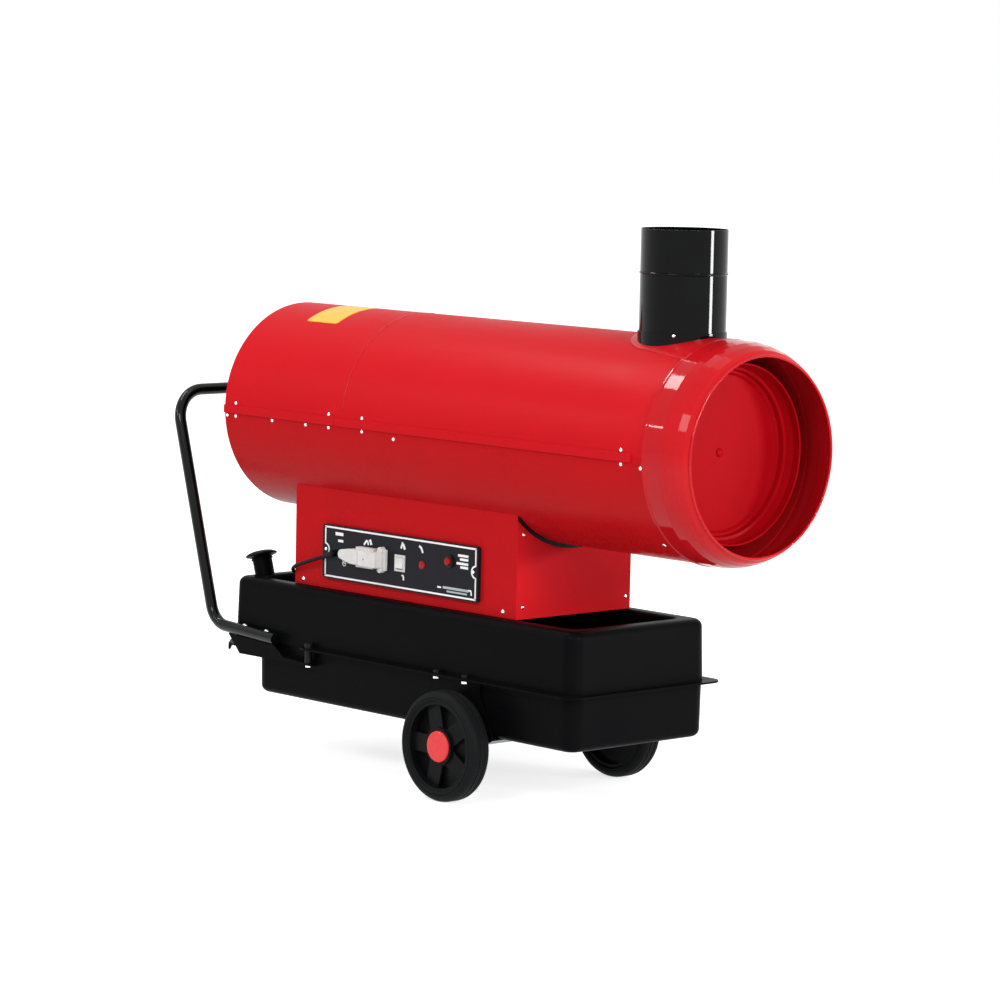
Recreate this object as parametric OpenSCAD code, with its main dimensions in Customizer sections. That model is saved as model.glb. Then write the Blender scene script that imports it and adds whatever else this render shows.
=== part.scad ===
// Indirect diesel heater on a two-wheeled tank trolley.
// +X points to the warm air outlet, -Y to the control panel and +Z up.
// The floor is z = 0 and the origin is the middle of the footprint.

/* [Body] */
// Outside diameter of the round body
body_d = 384; // [364:1:392]
// Thickness of the body sheet
body_wall = 1.5; // [1:0.1:2]
// Height of the body axis above the floor
body_axis_z = 645; // [640:1:660]
// Rear edge of the body
body_rear_x = -514; // [-524:1:-509]
// Place of the joint between the two upper covers
cover_joint_x = -176; // [-189:1:-159]
// Rear edge of the outlet ring
ring_x = 599; // [591:1:603]
// Inside diameter of the outlet mouth
mouth_d = 338; // [325:1:345]
// Front edge of the outlet mouth
mouth_x = 691; // [681:1:696]

/* [Flue] */
// Outside diameter of the flue
flue_d = 150; // [140:1:153]
// Wall of the flue sections
flue_wall = 1; // [0.8:0.1:1.5]
// Place of the flue axis along the body
flue_x = 493; // [486:1:501]
// Height of the top of the flue
flue_top_z = 1021; // [1000:1:1060]
// Height of the joint between the flue sections
flue_joint_z = 948; // [940:1:960]

/* [Heat exchanger] */
// Outside diameter of the exchanger drum
drum_d = 310; // [300:1:320]
// Outside diameter of the combustion chamber
chamber_d = 210; // [190:1:230]
// Front rim of the exchanger drum
drum_front_x = 631; // [611:1:641]
// Rear face of the exchanger drum
drum_rear_x = -69; // [-84:1:-59]

/* [Fan and motor] */
// Diameter over the fan blades
fan_d = 340; // [320:1:350]
// Number of fan blades
fan_blades_n = 6; // [4:1:7]
// Diameter of the motor shaft
shaft_d = 14; // [12:0.5:16]
// Running clearance of the shaft on the radius
shaft_gap = 0.04; // [0.02:0.01:0.08]
// Diameter of the motor
motor_d = 110; // [100:1:120]

/* [Base housing] */
// Width of the housing below the body
base_w = 278; // [268:1:284]
// Rear face of the housing
base_rear_x = -365; // [-369:1:-359]
// Front face of the housing
base_front_x = 240; // [231:1:251]
// Thickness of the housing sheet
base_wall = 1.5; // [1:0.1:2]

/* [Control panel] */
// Length of the panel
panel_l = 425; // [420:1:432]
// Height of the panel
panel_h = 99; // [95:1:104]
// How far the panel stands out
panel_t = 8; // [6:0.5:9]
// Height of the middle of the panel
panel_z = 397.5; // [390:0.5:405]
// Width of the rocker
rocker_w = 19; // [16:0.5:22]
// Height of the rocker
rocker_h = 22; // [20:0.5:24]
// Angle of the rocker to each side
rocker_angle = 7; // [5:1:9]
// Diameter of the reset button
button_d = 14; // [10:0.5:16]
// Diameter of the signal lamp
lamp_d = 15; // [12:0.5:18]

/* [Fuel tank] */
// Width of the pressed tank without its flange
tank_w = 332; // [328:1:336]
// Rear face of the upper half
tank_rear_x = -517; // [-521:1:-513]
// Front face of both halves
tank_front_x = 415; // [409:1:421]
// Rear face of the lower half
sump_rear_x = -446; // [-451:1:-439]
// Height of the top rim
rim_z = 327; // [322:1:332]
// Height of the seam between the halves
seam_z = 216; // [212:1:219]
// Height of the tank bottom
tank_bottom_z = 116; // [112:1:120]
// Depth of the tray in the top
tray_depth = 46; // [36:1:50]
// Width of the rim between the wall and the tray
tray_inset = 40; // [36:1:44]
// Corner radius of the tray in plan
tray_corner = 18; // [10:1:24]
// Width of the seam flange
flange_w = 21; // [16:1:22]
// Sheet of the tank
tank_wall = 1.6; // [1.2:0.1:2.2]
// Corner radius in plan
tank_corner = 28; // [24:1:40]
// Diameter of the filler neck
neck_d = 37; // [34:0.5:44]
// Rearward tilt of the filler neck
neck_tilt = 18; // [10:1:22]
// Diameter of the filler cap
cap_d = 60; // [52:1:66]

/* [Wheels] */
// Diameter of the tyres
wheel_d = 197; // [188:1:203]
// Width of the tyres
tyre_w = 44; // [38:1:46]
// Distance between the outer faces of the wheels
track_w = 466; // [460:1:480]
// Place of the axle
axle_x = 141; // [131:1:151]
// Diameter of the axle
axle_d = 16; // [14:0.5:18]
// Running clearance of the hubs on the radius
hub_gap = 0.08; // [0.04:0.01:0.1]
// Number of spokes in a wheel
spokes_n = 5; // [4:1:6]
// Width of the spokes
spoke_w = 33; // [20:1:34]
// Diameter of the hub cap
hub_cap_d = 56; // [50:1:60]

/* [Handle] */
// Diameter of the handle tube
handle_d = 22; // [20:0.5:24]
// Gap between the handle and the wall of the tank
handle_gap = 1; // [0.8:0.1:4]
// Height of the grip
handle_top_z = 664; // [645:1:680]
// Lean of the legs from upright
handle_lean = 16.5; // [14:0.5:18]
// Radius of the bends at the grip
grip_bend = 62; // [50:1:80]
// Radius of the bends at the foot of the legs
foot_bend = 48; // [40:1:60]

/* [Mains lead] */
// Diameter of the mains lead
lead_d = 7; // [6:0.5:8]
// Turns in each layer of the put-away coil
coil_turns = 2; // [1:1:3]

/* [Hidden] */

$fn = 48;
eps = 0.01;
seat = 0.1;           // clearance of sheets that lie on one another
body_r = body_d / 2;
body_in = body_r - body_wall;
hem_t = 3;            // thickness of the folded hem on the covers
hem_low = 9;          // how far the hem hangs below the seam
hem_high = 6;         // how far the hem rises above the seam
hem_front_x = ring_x - 28;
body_front_x = ring_x + 14;
joggle_l = 14;
rail_t = 2.5;
rail_hw = body_r * sin(4) + 2.6; // reaches past the screws at 4 degrees
flue_r = flue_d / 2;
drum_r = drum_d / 2;
drum_wall = 1.5;
chamber_r = chamber_d / 2;
collar_r = flue_r - flue_wall - 0.3;
saddle_r = flue_r + 13;
saddle_flare = 104;
shaft_r = shaft_d / 2;
motor_r = motor_d / 2;
motor_rear_x = body_rear_x + 55;
motor_front_x = motor_rear_x + 140;
fan_x = motor_front_x + 48;
burner_x = drum_rear_x - 130;
burner_r = 44;
scroll_r = 82;
base_hw = base_w / 2;
base_z = rim_z + 0.5;
saddle_cut_r = body_r + 7;
panel_x0 = -278;       // rear edge of the panel
panel_x = panel_x0 + panel_l / 2;
panel_y = -base_hw - panel_t;
tank_hw = tank_w / 2;
wall_lean = 1.5;      // how far the wall of the upper half stands out at the seam
lower_in = 1;         // the lower half is this much narrower on each side
tray_z = rim_z - tray_depth;
flange_x0 = -311;     // the flange is trimmed behind this
wheel_r = wheel_d / 2;
wheel_y = track_w / 2 - tyre_w / 2;
hub_hw = 20;
axle_r = axle_d / 2;
hub_top = 12.5;       // outer end of the hub, from the middle of the wheel
axle_end = 18;        // end of the axle, from the middle of the wheel
hanger_t = 3;
hanger_y = tank_hw + 0.5;
handle_r = handle_d / 2;
handle_y = tank_hw + wall_lean + handle_gap + handle_r;
handle_wall = 1.8;
tilt_x = flange_x0 + 32;        // the handle bracket rises rearwards from here
bracket_tilt = 3;
bracket_z = seam_z - 26;

// Shared shapes

// puts a shape that is drawn along +Z onto the body axis at x
module on_axis(x) {
    translate([x, 0, body_axis_z]) rotate([0, 90, 0]) children();
}

// a straight tube along +Z
module pipe(r_out, r_in, l) {
    difference() {
        cylinder(r = r_out, h = l);
        translate([0, 0, -1]) cylinder(r = r_in, h = l + 2);
    }
}

// a slab that keeps what lies between two heights over the body axis
module level(z0, z1) {
    translate([body_rear_x - 60, -body_r - 40, body_axis_z + z0])
        cube([mouth_x - body_rear_x + 120, 2 * body_r + 80, z1 - z0]);
}

// the plan outline of a plate with round corners
module plate(x0, x1, hw, r) {
    hull_l = x1 - x0 - 2 * r;
    translate([x0 + r, -hw]) square([hull_l, 2 * hw]);
    translate([x0, -hw + r]) square([x1 - x0, 2 * hw - 2 * r]);
    for (x = [x0 + r, x1 - r], s = [-1, 1]) translate([x, s * (hw - r)]) circle(r = r);
}

// carries a profile, drawn as distance outwards and height, round a plan with round corners
module around(x0, x1, hw, r) {
    lx = x1 - x0 - 2 * r;
    ly = 2 * hw - 2 * r;
    for (c = [[x1 - r, hw - r, 0], [x0 + r, hw - r, 90], [x0 + r, -hw + r, 180], [x1 - r, -hw + r, 270]])
        translate([c[0], c[1], 0]) rotate([0, 0, c[2]]) rotate_extrude(angle = 90) children();
    for (s = [0, 1]) {
        translate([(x0 + x1) / 2, 0, 0]) mirror([s, 0, 0]) translate([lx / 2, ly / 2, 0])
            rotate([90, 0, 0]) linear_extrude(height = ly) children();
        translate([x0 + r, 0, 0]) mirror([0, s, 0]) translate([0, hw - r, 0])
            rotate([90, 0, 90]) linear_extrude(height = lx) children();
    }
}

// points along an arc of a profile
function arc(cx, cz, r, a0, a1, n = 6) =
    [for (i = [0 : n]) [cx + r * cos(a0 + (a1 - a0) * i / n), cz + r * sin(a0 + (a1 - a0) * i / n)]];

// a rod of round section through points, with ball joints at the bends
module rod(pts, r) {
    for (i = [0 : len(pts) - 2]) {
        d = pts[i + 1] - pts[i];
        l = norm(d);
        translate(pts[i]) rotate([0, acos(d[2] / l), atan2(d[1], d[0])]) cylinder(r = r, h = l);
        if (i > 0) translate(pts[i]) sphere(r = 1.05 * r);
    }
}

function unit(v) = v / norm(v);
function side_of(d) = unit(cross(d, abs(d[2]) > 0.9 ? [1, 0, 0] : [0, 0, 1]));
function dir_at(p, i) = i == 0 ? unit(p[1] - p[0]) : i == len(p) - 1 ? unit(p[i] - p[i - 1])
    : unit(unit(p[i + 1] - p[i]) + unit(p[i] - p[i - 1]));
// sideways direction at each point, carried along without twist
function sides_along(p, i = 0, last = [0, 0, 0]) = i == len(p) ? [] : let(
        d = dir_at(p, i), u = i == 0 ? side_of(d) : unit(last - d * (last * d)))
    concat([u], sides_along(p, i + 1, u));

// rings of points round a path, and the two triangles between four corners of a face
function rings_at(p, r, sides) = let(us = sides_along(p))
    [for (i = [0 : len(p) - 1]) let(u = us[i], v = cross(u, dir_at(p, i)))
        for (j = [0 : sides - 1]) let(a = 360 * (j + 0.5) / sides) p[i] + r * (u * cos(a) + v * sin(a))];
function quad(a, b, c, d) = [[a, c, b], [a, d, c]];

// a solid cord swept through points
module sweep(p, r, sides) {
    n = len(p);
    skin = [for (i = [0 : n - 2], j = [0 : sides - 1]) let(k = (j + 1) % sides) each
        quad(i * sides + j, (i + 1) * sides + j, (i + 1) * sides + k, i * sides + k)];
    ends = [for (j = [1 : sides - 2]) each
        [[0, j + 1, j], [(n - 1) * sides, (n - 1) * sides + j, (n - 1) * sides + j + 1]]];
    polyhedron(points = rings_at(p, r, sides), faces = concat(skin, ends), convexity = 8);
}

// an open tube swept through points
module sweep_pipe(p, r, wall, sides) {
    n = len(p);
    m = n * sides;
    skins = [for (i = [0 : n - 2], j = [0 : sides - 1])
        let(k = (j + 1) % sides, a = i * sides, b = a + sides) each
        concat(quad(a + j, b + j, b + k, a + k), quad(m + a + k, m + b + k, m + b + j, m + a + j))];
    ends = [for (j = [0 : sides - 1]) let(k = (j + 1) % sides, e = m - sides) each
        concat(quad(j, k, m + k, m + j), quad(e + k, e + j, m + e + j, m + e + k))];
    polyhedron(points = concat(rings_at(p, r, sides), rings_at(p, r - wall, sides)),
        faces = concat(skins, ends), convexity = 10);
}

// a domed screw that points down, with its head standing on z = 0
module dome_screw(r, shank_r, l) {
    rotate_extrude() polygon(concat([[0, -l], [shank_r, -l], [shank_r, 0], [r, 0]],
        [for (i = [1 : 5]) [r * cos(18 * i), 0.55 * r * sin(18 * i)]]));
}

// Places of the screws round the body: distance along X and angle above the seam
screw_r = 3.6;
shank_r = 1.9;
hem_screw_x = [-482, -214, -121, 546];
hem_screw_a = [3.1, -4];
low_screws = [[-507, -4], [-375, -4], [-279, -4], [-35, -6], [593, -5], [581, -52]];
hem_screws = [for (x = hem_screw_x, a = hem_screw_a) [x, a]];
body_screw_list = concat(hem_screws, low_screws);

// stands its children square on the body surface at x and an angle above the near seam
module on_body(x, a, side, r = body_r) {
    translate([x, 0, body_axis_z]) mirror([0, side > 0 ? 1 : 0, 0]) rotate([90 - a, 0, 0])
        translate([0, 0, r]) children();
}

module body_holes() {
    for (s = body_screw_list, side = [0, 1])
        on_body(s[0], s[1], side) translate([0, 0, -8]) cylinder(r = shank_r + 0.1, h = 16, $fn = 24);
}

// Body

// where the lines and the wiring pass from the housing into the body
line_hole_x = [-339, -174];
module line_holes() {
    for (x = line_hole_x) translate([x, 0, body_axis_z - body_r - 5]) cylinder(r = 20, h = 12);
}

module lower_body() {
    color("#c32228") difference() {
        intersection() {
            on_axis(body_rear_x) pipe(body_r, body_in, body_front_x - body_rear_x);
            level(-body_r - 5, -seat);
        }
        line_holes();
        body_holes();
    }
}

// the folded edge along both sides of a cover
module hem(x0, x1) {
    intersection() {
        on_axis(x0) pipe(body_r + hem_t + seat, body_r + seat, x1 - x0);
        level(-hem_low, hem_high);
    }
    intersection() {
        on_axis(x0) pipe(body_r + hem_t + seat, body_in, x1 - x0);
        level(0, hem_high);
    }
}

module rear_cover() {
    joggle_r = body_in - 0.3;
    color("#dc242c") difference() {
        union() {
            intersection() {
                on_axis(body_rear_x) pipe(body_r, body_in, cover_joint_x - seat - body_rear_x);
                level(0, body_r + 5);
            }
            intersection() {
                union() {
                    on_axis(cover_joint_x - 6) pipe(body_in + 0.5, joggle_r - body_wall, 6 - seat);
                    on_axis(cover_joint_x - 6) pipe(joggle_r, joggle_r - body_wall, joggle_l + 6);
                }
                level(20, body_r + 5);
            }
            hem(body_rear_x, cover_joint_x - 20);
        }
        body_holes();
    }
}

// the slot that lets the front cover lift off round the flue
module flue_slot(grow) {
    circle(r = flue_r + 4 + grow);
    polygon([[0, -flue_r - 4 - grow], [body_front_x + 5 - flue_x, -saddle_flare + 8 - grow],
        [body_front_x + 5 - flue_x, saddle_flare - 8 + grow], [0, flue_r + 4 + grow]]);
}

module front_cover() {
    color("#dc242c") difference() {
        union() {
            intersection() {
                on_axis(cover_joint_x) pipe(body_r, body_in, body_front_x - cover_joint_x);
                level(0, body_r + 5);
            }
            hem(cover_joint_x - 19, hem_front_x);
        }
        translate([cover_joint_x - 20, -body_r - 10, body_axis_z + hem_high + seat])
            cube([20, 2 * body_r + 20, 30]);
        on_axis(cover_joint_x - 20) cylinder(r = body_r + seat, h = 20);
        translate([flue_x, 0, body_axis_z + 20]) linear_extrude(height = body_r) flue_slot(0);
        body_holes();
    }
}

// strips inside the seam that the screws bite into
module seam_rails() {
    color("#8c1a1e") difference() {
        intersection() {
            on_axis(body_rear_x + 22) pipe(body_in - seat, body_in - seat - rail_t,
                ring_x - 2 - body_rear_x - 22);
            level(-rail_hw, rail_hw);
        }
        body_holes();
    }
}

// Outlet ring: a band that narrows to a mouth with a rolled lip
ring_back_r = body_r + 0.4 + 1.6;
ring_sheet = 1.6;
module outlet_ring() {
    mr = mouth_d / 2;
    l = mouth_x - ring_x;
    lip_r = 2.4;
    outer = [[ring_back_r + 1.2, 0], [ring_back_r + 1.2, 3], [ring_back_r, 6],
        [ring_back_r - 0.6, 0.42 * l],
        [ring_back_r - 3, 0.58 * l], [ring_back_r - 7.5, 0.74 * l], [ring_back_r - 14, 0.88 * l],
            [mr + 2.5, l - 3]];
    inner = [for (i = [len(outer) - 1 : -1 : 0])
        [outer[i][0] - ring_sheet, outer[i][1] + (i > 3 ? -0.8 : 0)]];
    color("#d8242b") on_axis(ring_x) {
        rotate_extrude($fn = 96) polygon(concat(outer, inner));
        translate([0, 0, l - lip_r]) rotate_extrude($fn = 96) translate([mr + lip_r, 0])
            circle(r = lip_r, $fn = 24);
    }
}

// Rear intake: a flanged ring that carries a guard of wire rings and spokes
guard_r = body_in - 15;
guard_wire = 1.6;
module intake_ring() {
    color("#b92228") difference() {
        on_axis(body_rear_x + 2) {
            pipe(body_in - seat, body_in - seat - 1.5, 18);
            pipe(body_in - seat, guard_r - 6, 1.5);
            rotate_extrude() translate([guard_r - 6, 1.6]) circle(r = 1.6, $fn = 16);
        }
        body_holes();
    }
}

module intake_grille() {
    rings = 9;
    pitch = (guard_r - 14) / rings;
    color("#202224") on_axis(body_rear_x + 2) translate([0, 0, 3.4 + guard_wire]) {
        for (i = [1 : rings]) rotate_extrude($fn = 64) translate([14 + i * pitch, 0])
            circle(r = guard_wire, $fn = 16);
        for (a = [0 : 45 : 315]) rotate([0, 0, a]) translate([10, 0, guard_wire * 1.6]) rotate([0, 90, 0])
            cylinder(r = guard_wire, h = guard_r - 8, $fn = 16);
        translate([0, 0, guard_wire * 0.6]) cylinder(r = 16, h = 2);
        // lugs that hold the guard against the ring
        for (a = [0 : 90 : 270]) rotate([0, 0, a + 45]) translate([guard_r - 4, -7, -guard_wire - 0.4])
            cube([13, 14, guard_wire * 1.4]);
    }
}

// Flue

// the small screw that clamps the collar to the flue
module at_flue_screw() {
    translate([flue_x, 0, 0]) rotate([0, 0, -56]) translate([flue_r + 2.25, 0, body_axis_z + body_r + 5])
        rotate([0, 90, 0]) children();
}

module flue_saddle() {
    color("#d8242b") difference() {
        union() {
            intersection() {
                on_axis(flue_x - 120) pipe(body_r + 1.9, body_r + 0.3, ring_x - 0.5 - flue_x + 120);
                translate([flue_x, 0, body_axis_z + 30]) linear_extrude(height = body_r) {
                    circle(r = saddle_r);
                    polygon([[0, -saddle_r], [ring_x - flue_x + 5, -saddle_flare],
                        [ring_x - flue_x + 5, saddle_flare], [0, saddle_r]]);
                }
            }
            translate([flue_x, 0, body_axis_z + 150]) intersection() {
                pipe(flue_r + 2.2, flue_r + 0.3, body_r + 9 - 150);
                translate([0, 0, 10]) cylinder(r = flue_r + 10, h = body_r);
            }
        }
        translate([flue_x, 0, body_axis_z + 20]) cylinder(r = flue_r + 0.3, h = body_r + 20);
        at_flue_screw() translate([0, 0, -4]) cylinder(r = 1.6, h = 8, $fn = 24);
        // nothing of the collar reaches inside the cover
        on_axis(flue_x - 130) cylinder(r = body_r + 0.3, h = 300);
    }
}

flue_foot_z = body_axis_z + drum_r + 3.2;
overlap_l = 26;
module flue_lower() {
    color("#141414") translate([flue_x, 0, 0]) {
        translate([0, 0, flue_foot_z]) pipe(flue_r, flue_r - flue_wall, flue_joint_z - flue_foot_z);
        translate([0, 0, flue_joint_z - 5])
            pipe(flue_r - flue_wall - 0.2, flue_r - 2 * flue_wall - 0.2, overlap_l + 5);
        translate([0, 0, flue_joint_z - 5]) pipe(flue_r - 0.5, flue_r - 2 * flue_wall - 0.2, 3);
        // rolled bead at the joint
        translate([0, 0, flue_joint_z - 2.6]) rotate_extrude() translate([flue_r - 0.4, 0])
            circle(r = 2, $fn = 20);
    }
}

module flue_upper() {
    color("#141414") translate([flue_x, 0, flue_joint_z + seat])
        pipe(flue_r, flue_r - flue_wall, flue_top_z - flue_joint_z - seat);
}

// Heat exchanger

// the stepped front head is set back from the rim of the drum
module exchanger_drum() {
    ri = drum_r - drum_wall;
    l = drum_front_x - drum_rear_x;
    face = l - 42;
    head = [[0, face], [ri - 20, face], [ri - 16, face + 5], [ri - 12, face + 5], [ri - 10, face + 14],
        [ri - 5, face + 15], [ri, face + 28]];
    back = [for (i = [len(head) - 1 : -1 : 0]) [head[i][0], head[i][1] - 2]];
    color("#c4181f") difference() {
        union() {
            on_axis(drum_rear_x) {
                pipe(drum_r, ri, l);
                pipe(drum_r, burner_r + 0.2, 2);
                rotate_extrude($fn = 64) polygon(concat(head, back));
                rotate_extrude($fn = 64) translate([drum_r - 0.6, l]) circle(r = 1.8, $fn = 16);
                translate([0, 0, face - 1]) rotate_extrude()
                    polygon(concat([[0, 0], [8, 0]],
                        [for (i = [0 : 5]) [8 * cos(18 * i), 1 + 4 * sin(18 * i)]]));
            }
            // flue collar with the shoulder that the flue stands on
            translate([flue_x, 0, 0]) {
                translate([0, 0, body_axis_z + 100]) cylinder(r = collar_r, h = drum_r - 100 + 60);
                translate([0, 0, body_axis_z + 110]) cylinder(r = flue_r + 3, h = drum_r - 110 + 3);
            }
        }
        translate([flue_x, 0, body_axis_z]) cylinder(r = collar_r - 1.5, h = body_r + 40);
        on_axis(drum_rear_x + 3) cylinder(r = ri - eps, h = face - 6);
    }
}

module combustion_chamber() {
    l = 480;
    x0 = drum_rear_x + 2 + seat;
    color("#8f9296") on_axis(x0) {
        difference() {
            union() {
                cylinder(r = chamber_r, h = l);
                // swaged ribs that stiffen the chamber
                for (x = [60 : 90 : 420]) translate([0, 0, x]) rotate_extrude()
                    translate([chamber_r - 0.5, 0])
                    circle(r = 2.5, $fn = 16);
            }
            translate([0, 0, 2]) cylinder(r = chamber_r - 2, h = l - 4);
            translate([0, 0, -1]) cylinder(r = burner_r + 0.4, h = 5);
            // gas ports near the closed front end
            for (a = [0 : 60 : 300]) rotate([0, 0, a]) translate([chamber_r - 12, 0, l - 40])
                rotate([0, 90, 0])
                cylinder(r = 16, h = 20);
        }
    }
}

// short stays between the drum and the body
stay_x = [51, 421];
module exchanger_brackets() {
    color("#9a9da1") difference() {
        for (x = stay_x, a = [45 : 90 : 315]) translate([x - 11, 0, body_axis_z]) rotate([a, 0, 0])
            translate([0, -1.5, drum_r - 4]) cube([22, 3, body_in - drum_r + 8]);
        on_axis(0) cylinder(r = drum_r + seat, h = 500);
        difference() {
            on_axis(-10) cylinder(r = body_r + 30, h = 520);
            on_axis(-11) cylinder(r = body_in - seat, h = 522);
        }
    }
}

// Motor and fan

bearing_r = shaft_r + 10;
bearing_l = 11;
module motor() {
    l = motor_front_x - motor_rear_x;
    color("#6f7479") on_axis(motor_rear_x) difference() {
        union() {
            translate([0, 0, 8]) cylinder(r = motor_r, h = l - 16);
            cylinder(r = motor_r - 10, h = l);
            for (a = [0 : 15 : 345]) rotate([0, 0, a]) translate([motor_r - 2, -1, 20])
                cube([5, 2, l - 40]);
        }
        translate([0, 0, -1]) cylinder(r = shaft_r + 2, h = l + 2);
        for (z = [-1, l - bearing_l]) translate([0, 0, z])
            cylinder(r = bearing_r + seat, h = bearing_l + 1);
    }
}

module motor_bearings() {
    color("#c9ccd0") for (x = [motor_rear_x, motor_front_x - bearing_l])
        on_axis(x) pipe(bearing_r, shaft_r + shaft_gap, bearing_l);
}

module motor_bracket() {
    color("#2b2d30") on_axis(motor_rear_x + 60) difference() {
        union() {
            cylinder(r = motor_r + 8, h = 20);
            for (a = [45 : 90 : 315]) rotate([0, 0, a]) translate([motor_r + 6, -12, 0])
                cube([body_r - motor_r, 24, 3]);
        }
        translate([0, 0, -1]) cylinder(r = motor_r + 3 + seat, h = 30);
        difference() {
            translate([0, 0, -1]) cylinder(r = body_r + 30, h = 30);
            translate([0, 0, -2]) cylinder(r = body_in - seat, h = 32);
        }
    }
}

shaft_rear_x = motor_rear_x - 26;
shaft_front_x = burner_x + 58;
module fan_shaft() {
    color("#b9bcc0") on_axis(shaft_rear_x) cylinder(r = shaft_r, h = shaft_front_x - shaft_rear_x);
}

hub_r = 24;
module fan_hub() {
    color("#c2c6ca") on_axis(fan_x - 22) difference() {
        cylinder(r = hub_r, h = 44);
        translate([0, 0, -1]) cylinder(r = shaft_r, h = 50);
        translate([0, 0, 36]) rotate([90, 0, 0]) translate([0, 0, shaft_r + 1])
            cylinder(r = 2.5, h = hub_r);
    }
}

// A blade is lofted through sections whose pitch eases towards the tip
blade_root_r = 44;
blade_sections = 5;
function blade_at(t, side) = let(
        r = blade_root_r + (fan_d / 2 - 2 - blade_root_r) * t,
        chord = 62 + 46 * t - 14 * t * t,
        pitch = 48 - 24 * t,
        camber = 7 * (1 - 0.4 * t))
    [for (j = [0 : 4]) let(
            s = (side > 0 ? j : 4 - j) / 4 - 0.5,
            u = s * chord,
            w = camber * (1 - 4 * s * s) + side * 0.9,
            y = u * cos(pitch) - w * sin(pitch),
            x = u * sin(pitch) + w * cos(pitch),
            rr = sqrt(max(r * r - y * y, 1)))
        [rr, y, x]];
function blade_ring(t) = concat(blade_at(t, 1), blade_at(t, -1));
module blade() {
    m = 10;
    pts = [for (k = [0 : blade_sections]) each blade_ring(k / blade_sections)];
    walls = [for (k = [0 : blade_sections - 1], j = [0 : m - 1]) each
        [[k * m + j, k * m + (j + 1) % m, (k + 1) * m + j],
        [k * m + (j + 1) % m, (k + 1) * m + (j + 1) % m, (k + 1) * m + j]]];
    last = blade_sections * m;
    caps = [for (j = [0 : 3]) each [[j, 9 - j, 8 - j], [j, 8 - j, j + 1],
        [last + j, last + 8 - j, last + 9 - j], [last + j, last + j + 1, last + 8 - j]]];
    polyhedron(points = pts, faces = concat(walls, caps), convexity = 4);
}

module fan_blades() {
    color("#aeb3b8") on_axis(fan_x) {
        difference() {
            translate([0, 0, -2]) cylinder(r = blade_root_r + 10, h = 4);
            translate([0, 0, -5]) cylinder(r = hub_r + 0.05, h = 10);
        }
        for (i = [0 : fan_blades_n - 1]) rotate([0, 0, 360 * i / fan_blades_n]) blade();
    }
}

// Burner

module burner_housing() {
    l = 84;
    color("#55595e") on_axis(burner_x) difference() {
        cylinder(r = scroll_r, h = l);
        translate([0, 0, 2]) cylinder(r = scroll_r - 2, h = l - 4);
        translate([0, 0, -1]) cylinder(r = 32, h = 4);
        translate([0, 0, l - 3]) cylinder(r = burner_r + 0.2, h = 4);
    }
}

module burner_impeller() {
    vanes = 16;
    color("#9ea2a6") on_axis(burner_x + 12) {
        difference() {
            union() {
                translate([0, 0, 34]) cylinder(r = 62, h = 2.5);
                translate([0, 0, 20]) cylinder(r = 14, h = 16);
            }
            translate([0, 0, 10]) cylinder(r = shaft_r, h = 40);
        }
        for (i = [0 : vanes - 1]) rotate([0, 0, 360 * i / vanes]) translate([46, 0, 0]) rotate([0, 0, 30])
            translate([0, -0.8, 0]) cube([17, 1.6, 34.5]);
    }
}

module burner_tube() {
    x0 = burner_x + 84 - 3;
    color("#7d8186") {
        on_axis(x0) pipe(burner_r, burner_r - 2, drum_rear_x + 60 - x0);
        // flange against the rear plate of the drum
        on_axis(drum_rear_x - 3 - seat) pipe(burner_r + 22, burner_r - 1, 3);
        // flame disc with its radial slots
        on_axis(drum_rear_x + 40) difference() {
            cylinder(r = burner_r - 1, h = 2);
            translate([0, 0, -1]) cylinder(r = 19, h = 4);
            for (a = [0 : 45 : 315]) rotate([0, 0, a]) translate([23, -2, -1]) cube([14, 4, 4]);
        }
    }
}

module burner_nozzle() {
    x0 = burner_x + 96;
    color("#c79a4a") on_axis(x0) {
        cylinder(r = 5, h = 100);
        translate([0, 0, 70]) cylinder(r = 9, h = 22, $fn = 6);
        translate([0, 0, 100]) cylinder(r = 7, h = 14);
        // electrodes and their clamp beside the nozzle
        for (s = [-1, 1]) translate([0, s * 14, 0]) {
            cylinder(r = 4, h = 110);
            translate([0, 0, 108]) cylinder(r = 1.2, h = 26);
        }
        translate([0, 0, 40]) linear_extrude(height = 6) plate(-9, 9, 20, 6);
        // stays to the wall of the tube
        translate([-2, -burner_r + 2 + seat, 41]) cube([4, 2 * burner_r - 4 - 2 * seat, 4]);
    }
}

module fuel_pump() {
    l = 40;
    color("#a8acb0") on_axis(motor_rear_x - l - seat) difference() {
        union() {
            translate([0, 0, 6]) cylinder(r = 29, h = l - 6);
            cylinder(r = 20, h = l);
            translate([-8, -40, 12]) cube([16, 80, 20]);
            translate([14, -9, 10]) cube([24, 18, 24]);
        }
        translate([0, 0, l - 28]) cylinder(r = shaft_r + shaft_gap, h = 40);
    }
}

// Base housing

// the side walls end on the underside of the body
module body_cut(r) {
    on_axis(base_rear_x - 30) cylinder(r = r, h = base_front_x - base_rear_x + 60);
}

module base_end(x) {
    difference() {
        translate([x, -base_hw, base_z]) cube([base_wall, base_w, body_axis_z - 100 - base_z]);
        body_cut(saddle_cut_r);
        end_holes();
    }
}

end_screws = [[-base_hw + 14, 150], [-base_hw + 15, 21], [base_hw - 12, 23], [base_hw - 14, 150]];
module end_holes() {
    for (s = end_screws) translate([base_rear_x - 10, s[0], base_z + s[1]]) rotate([0, 90, 0])
        cylinder(r = shank_r + 0.1, h = base_front_x - base_rear_x + 20, $fn = 24);
}

module base_ends() {
    color("#d0232a") for (x = [base_rear_x, base_front_x - base_wall]) base_end(x);
}

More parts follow.
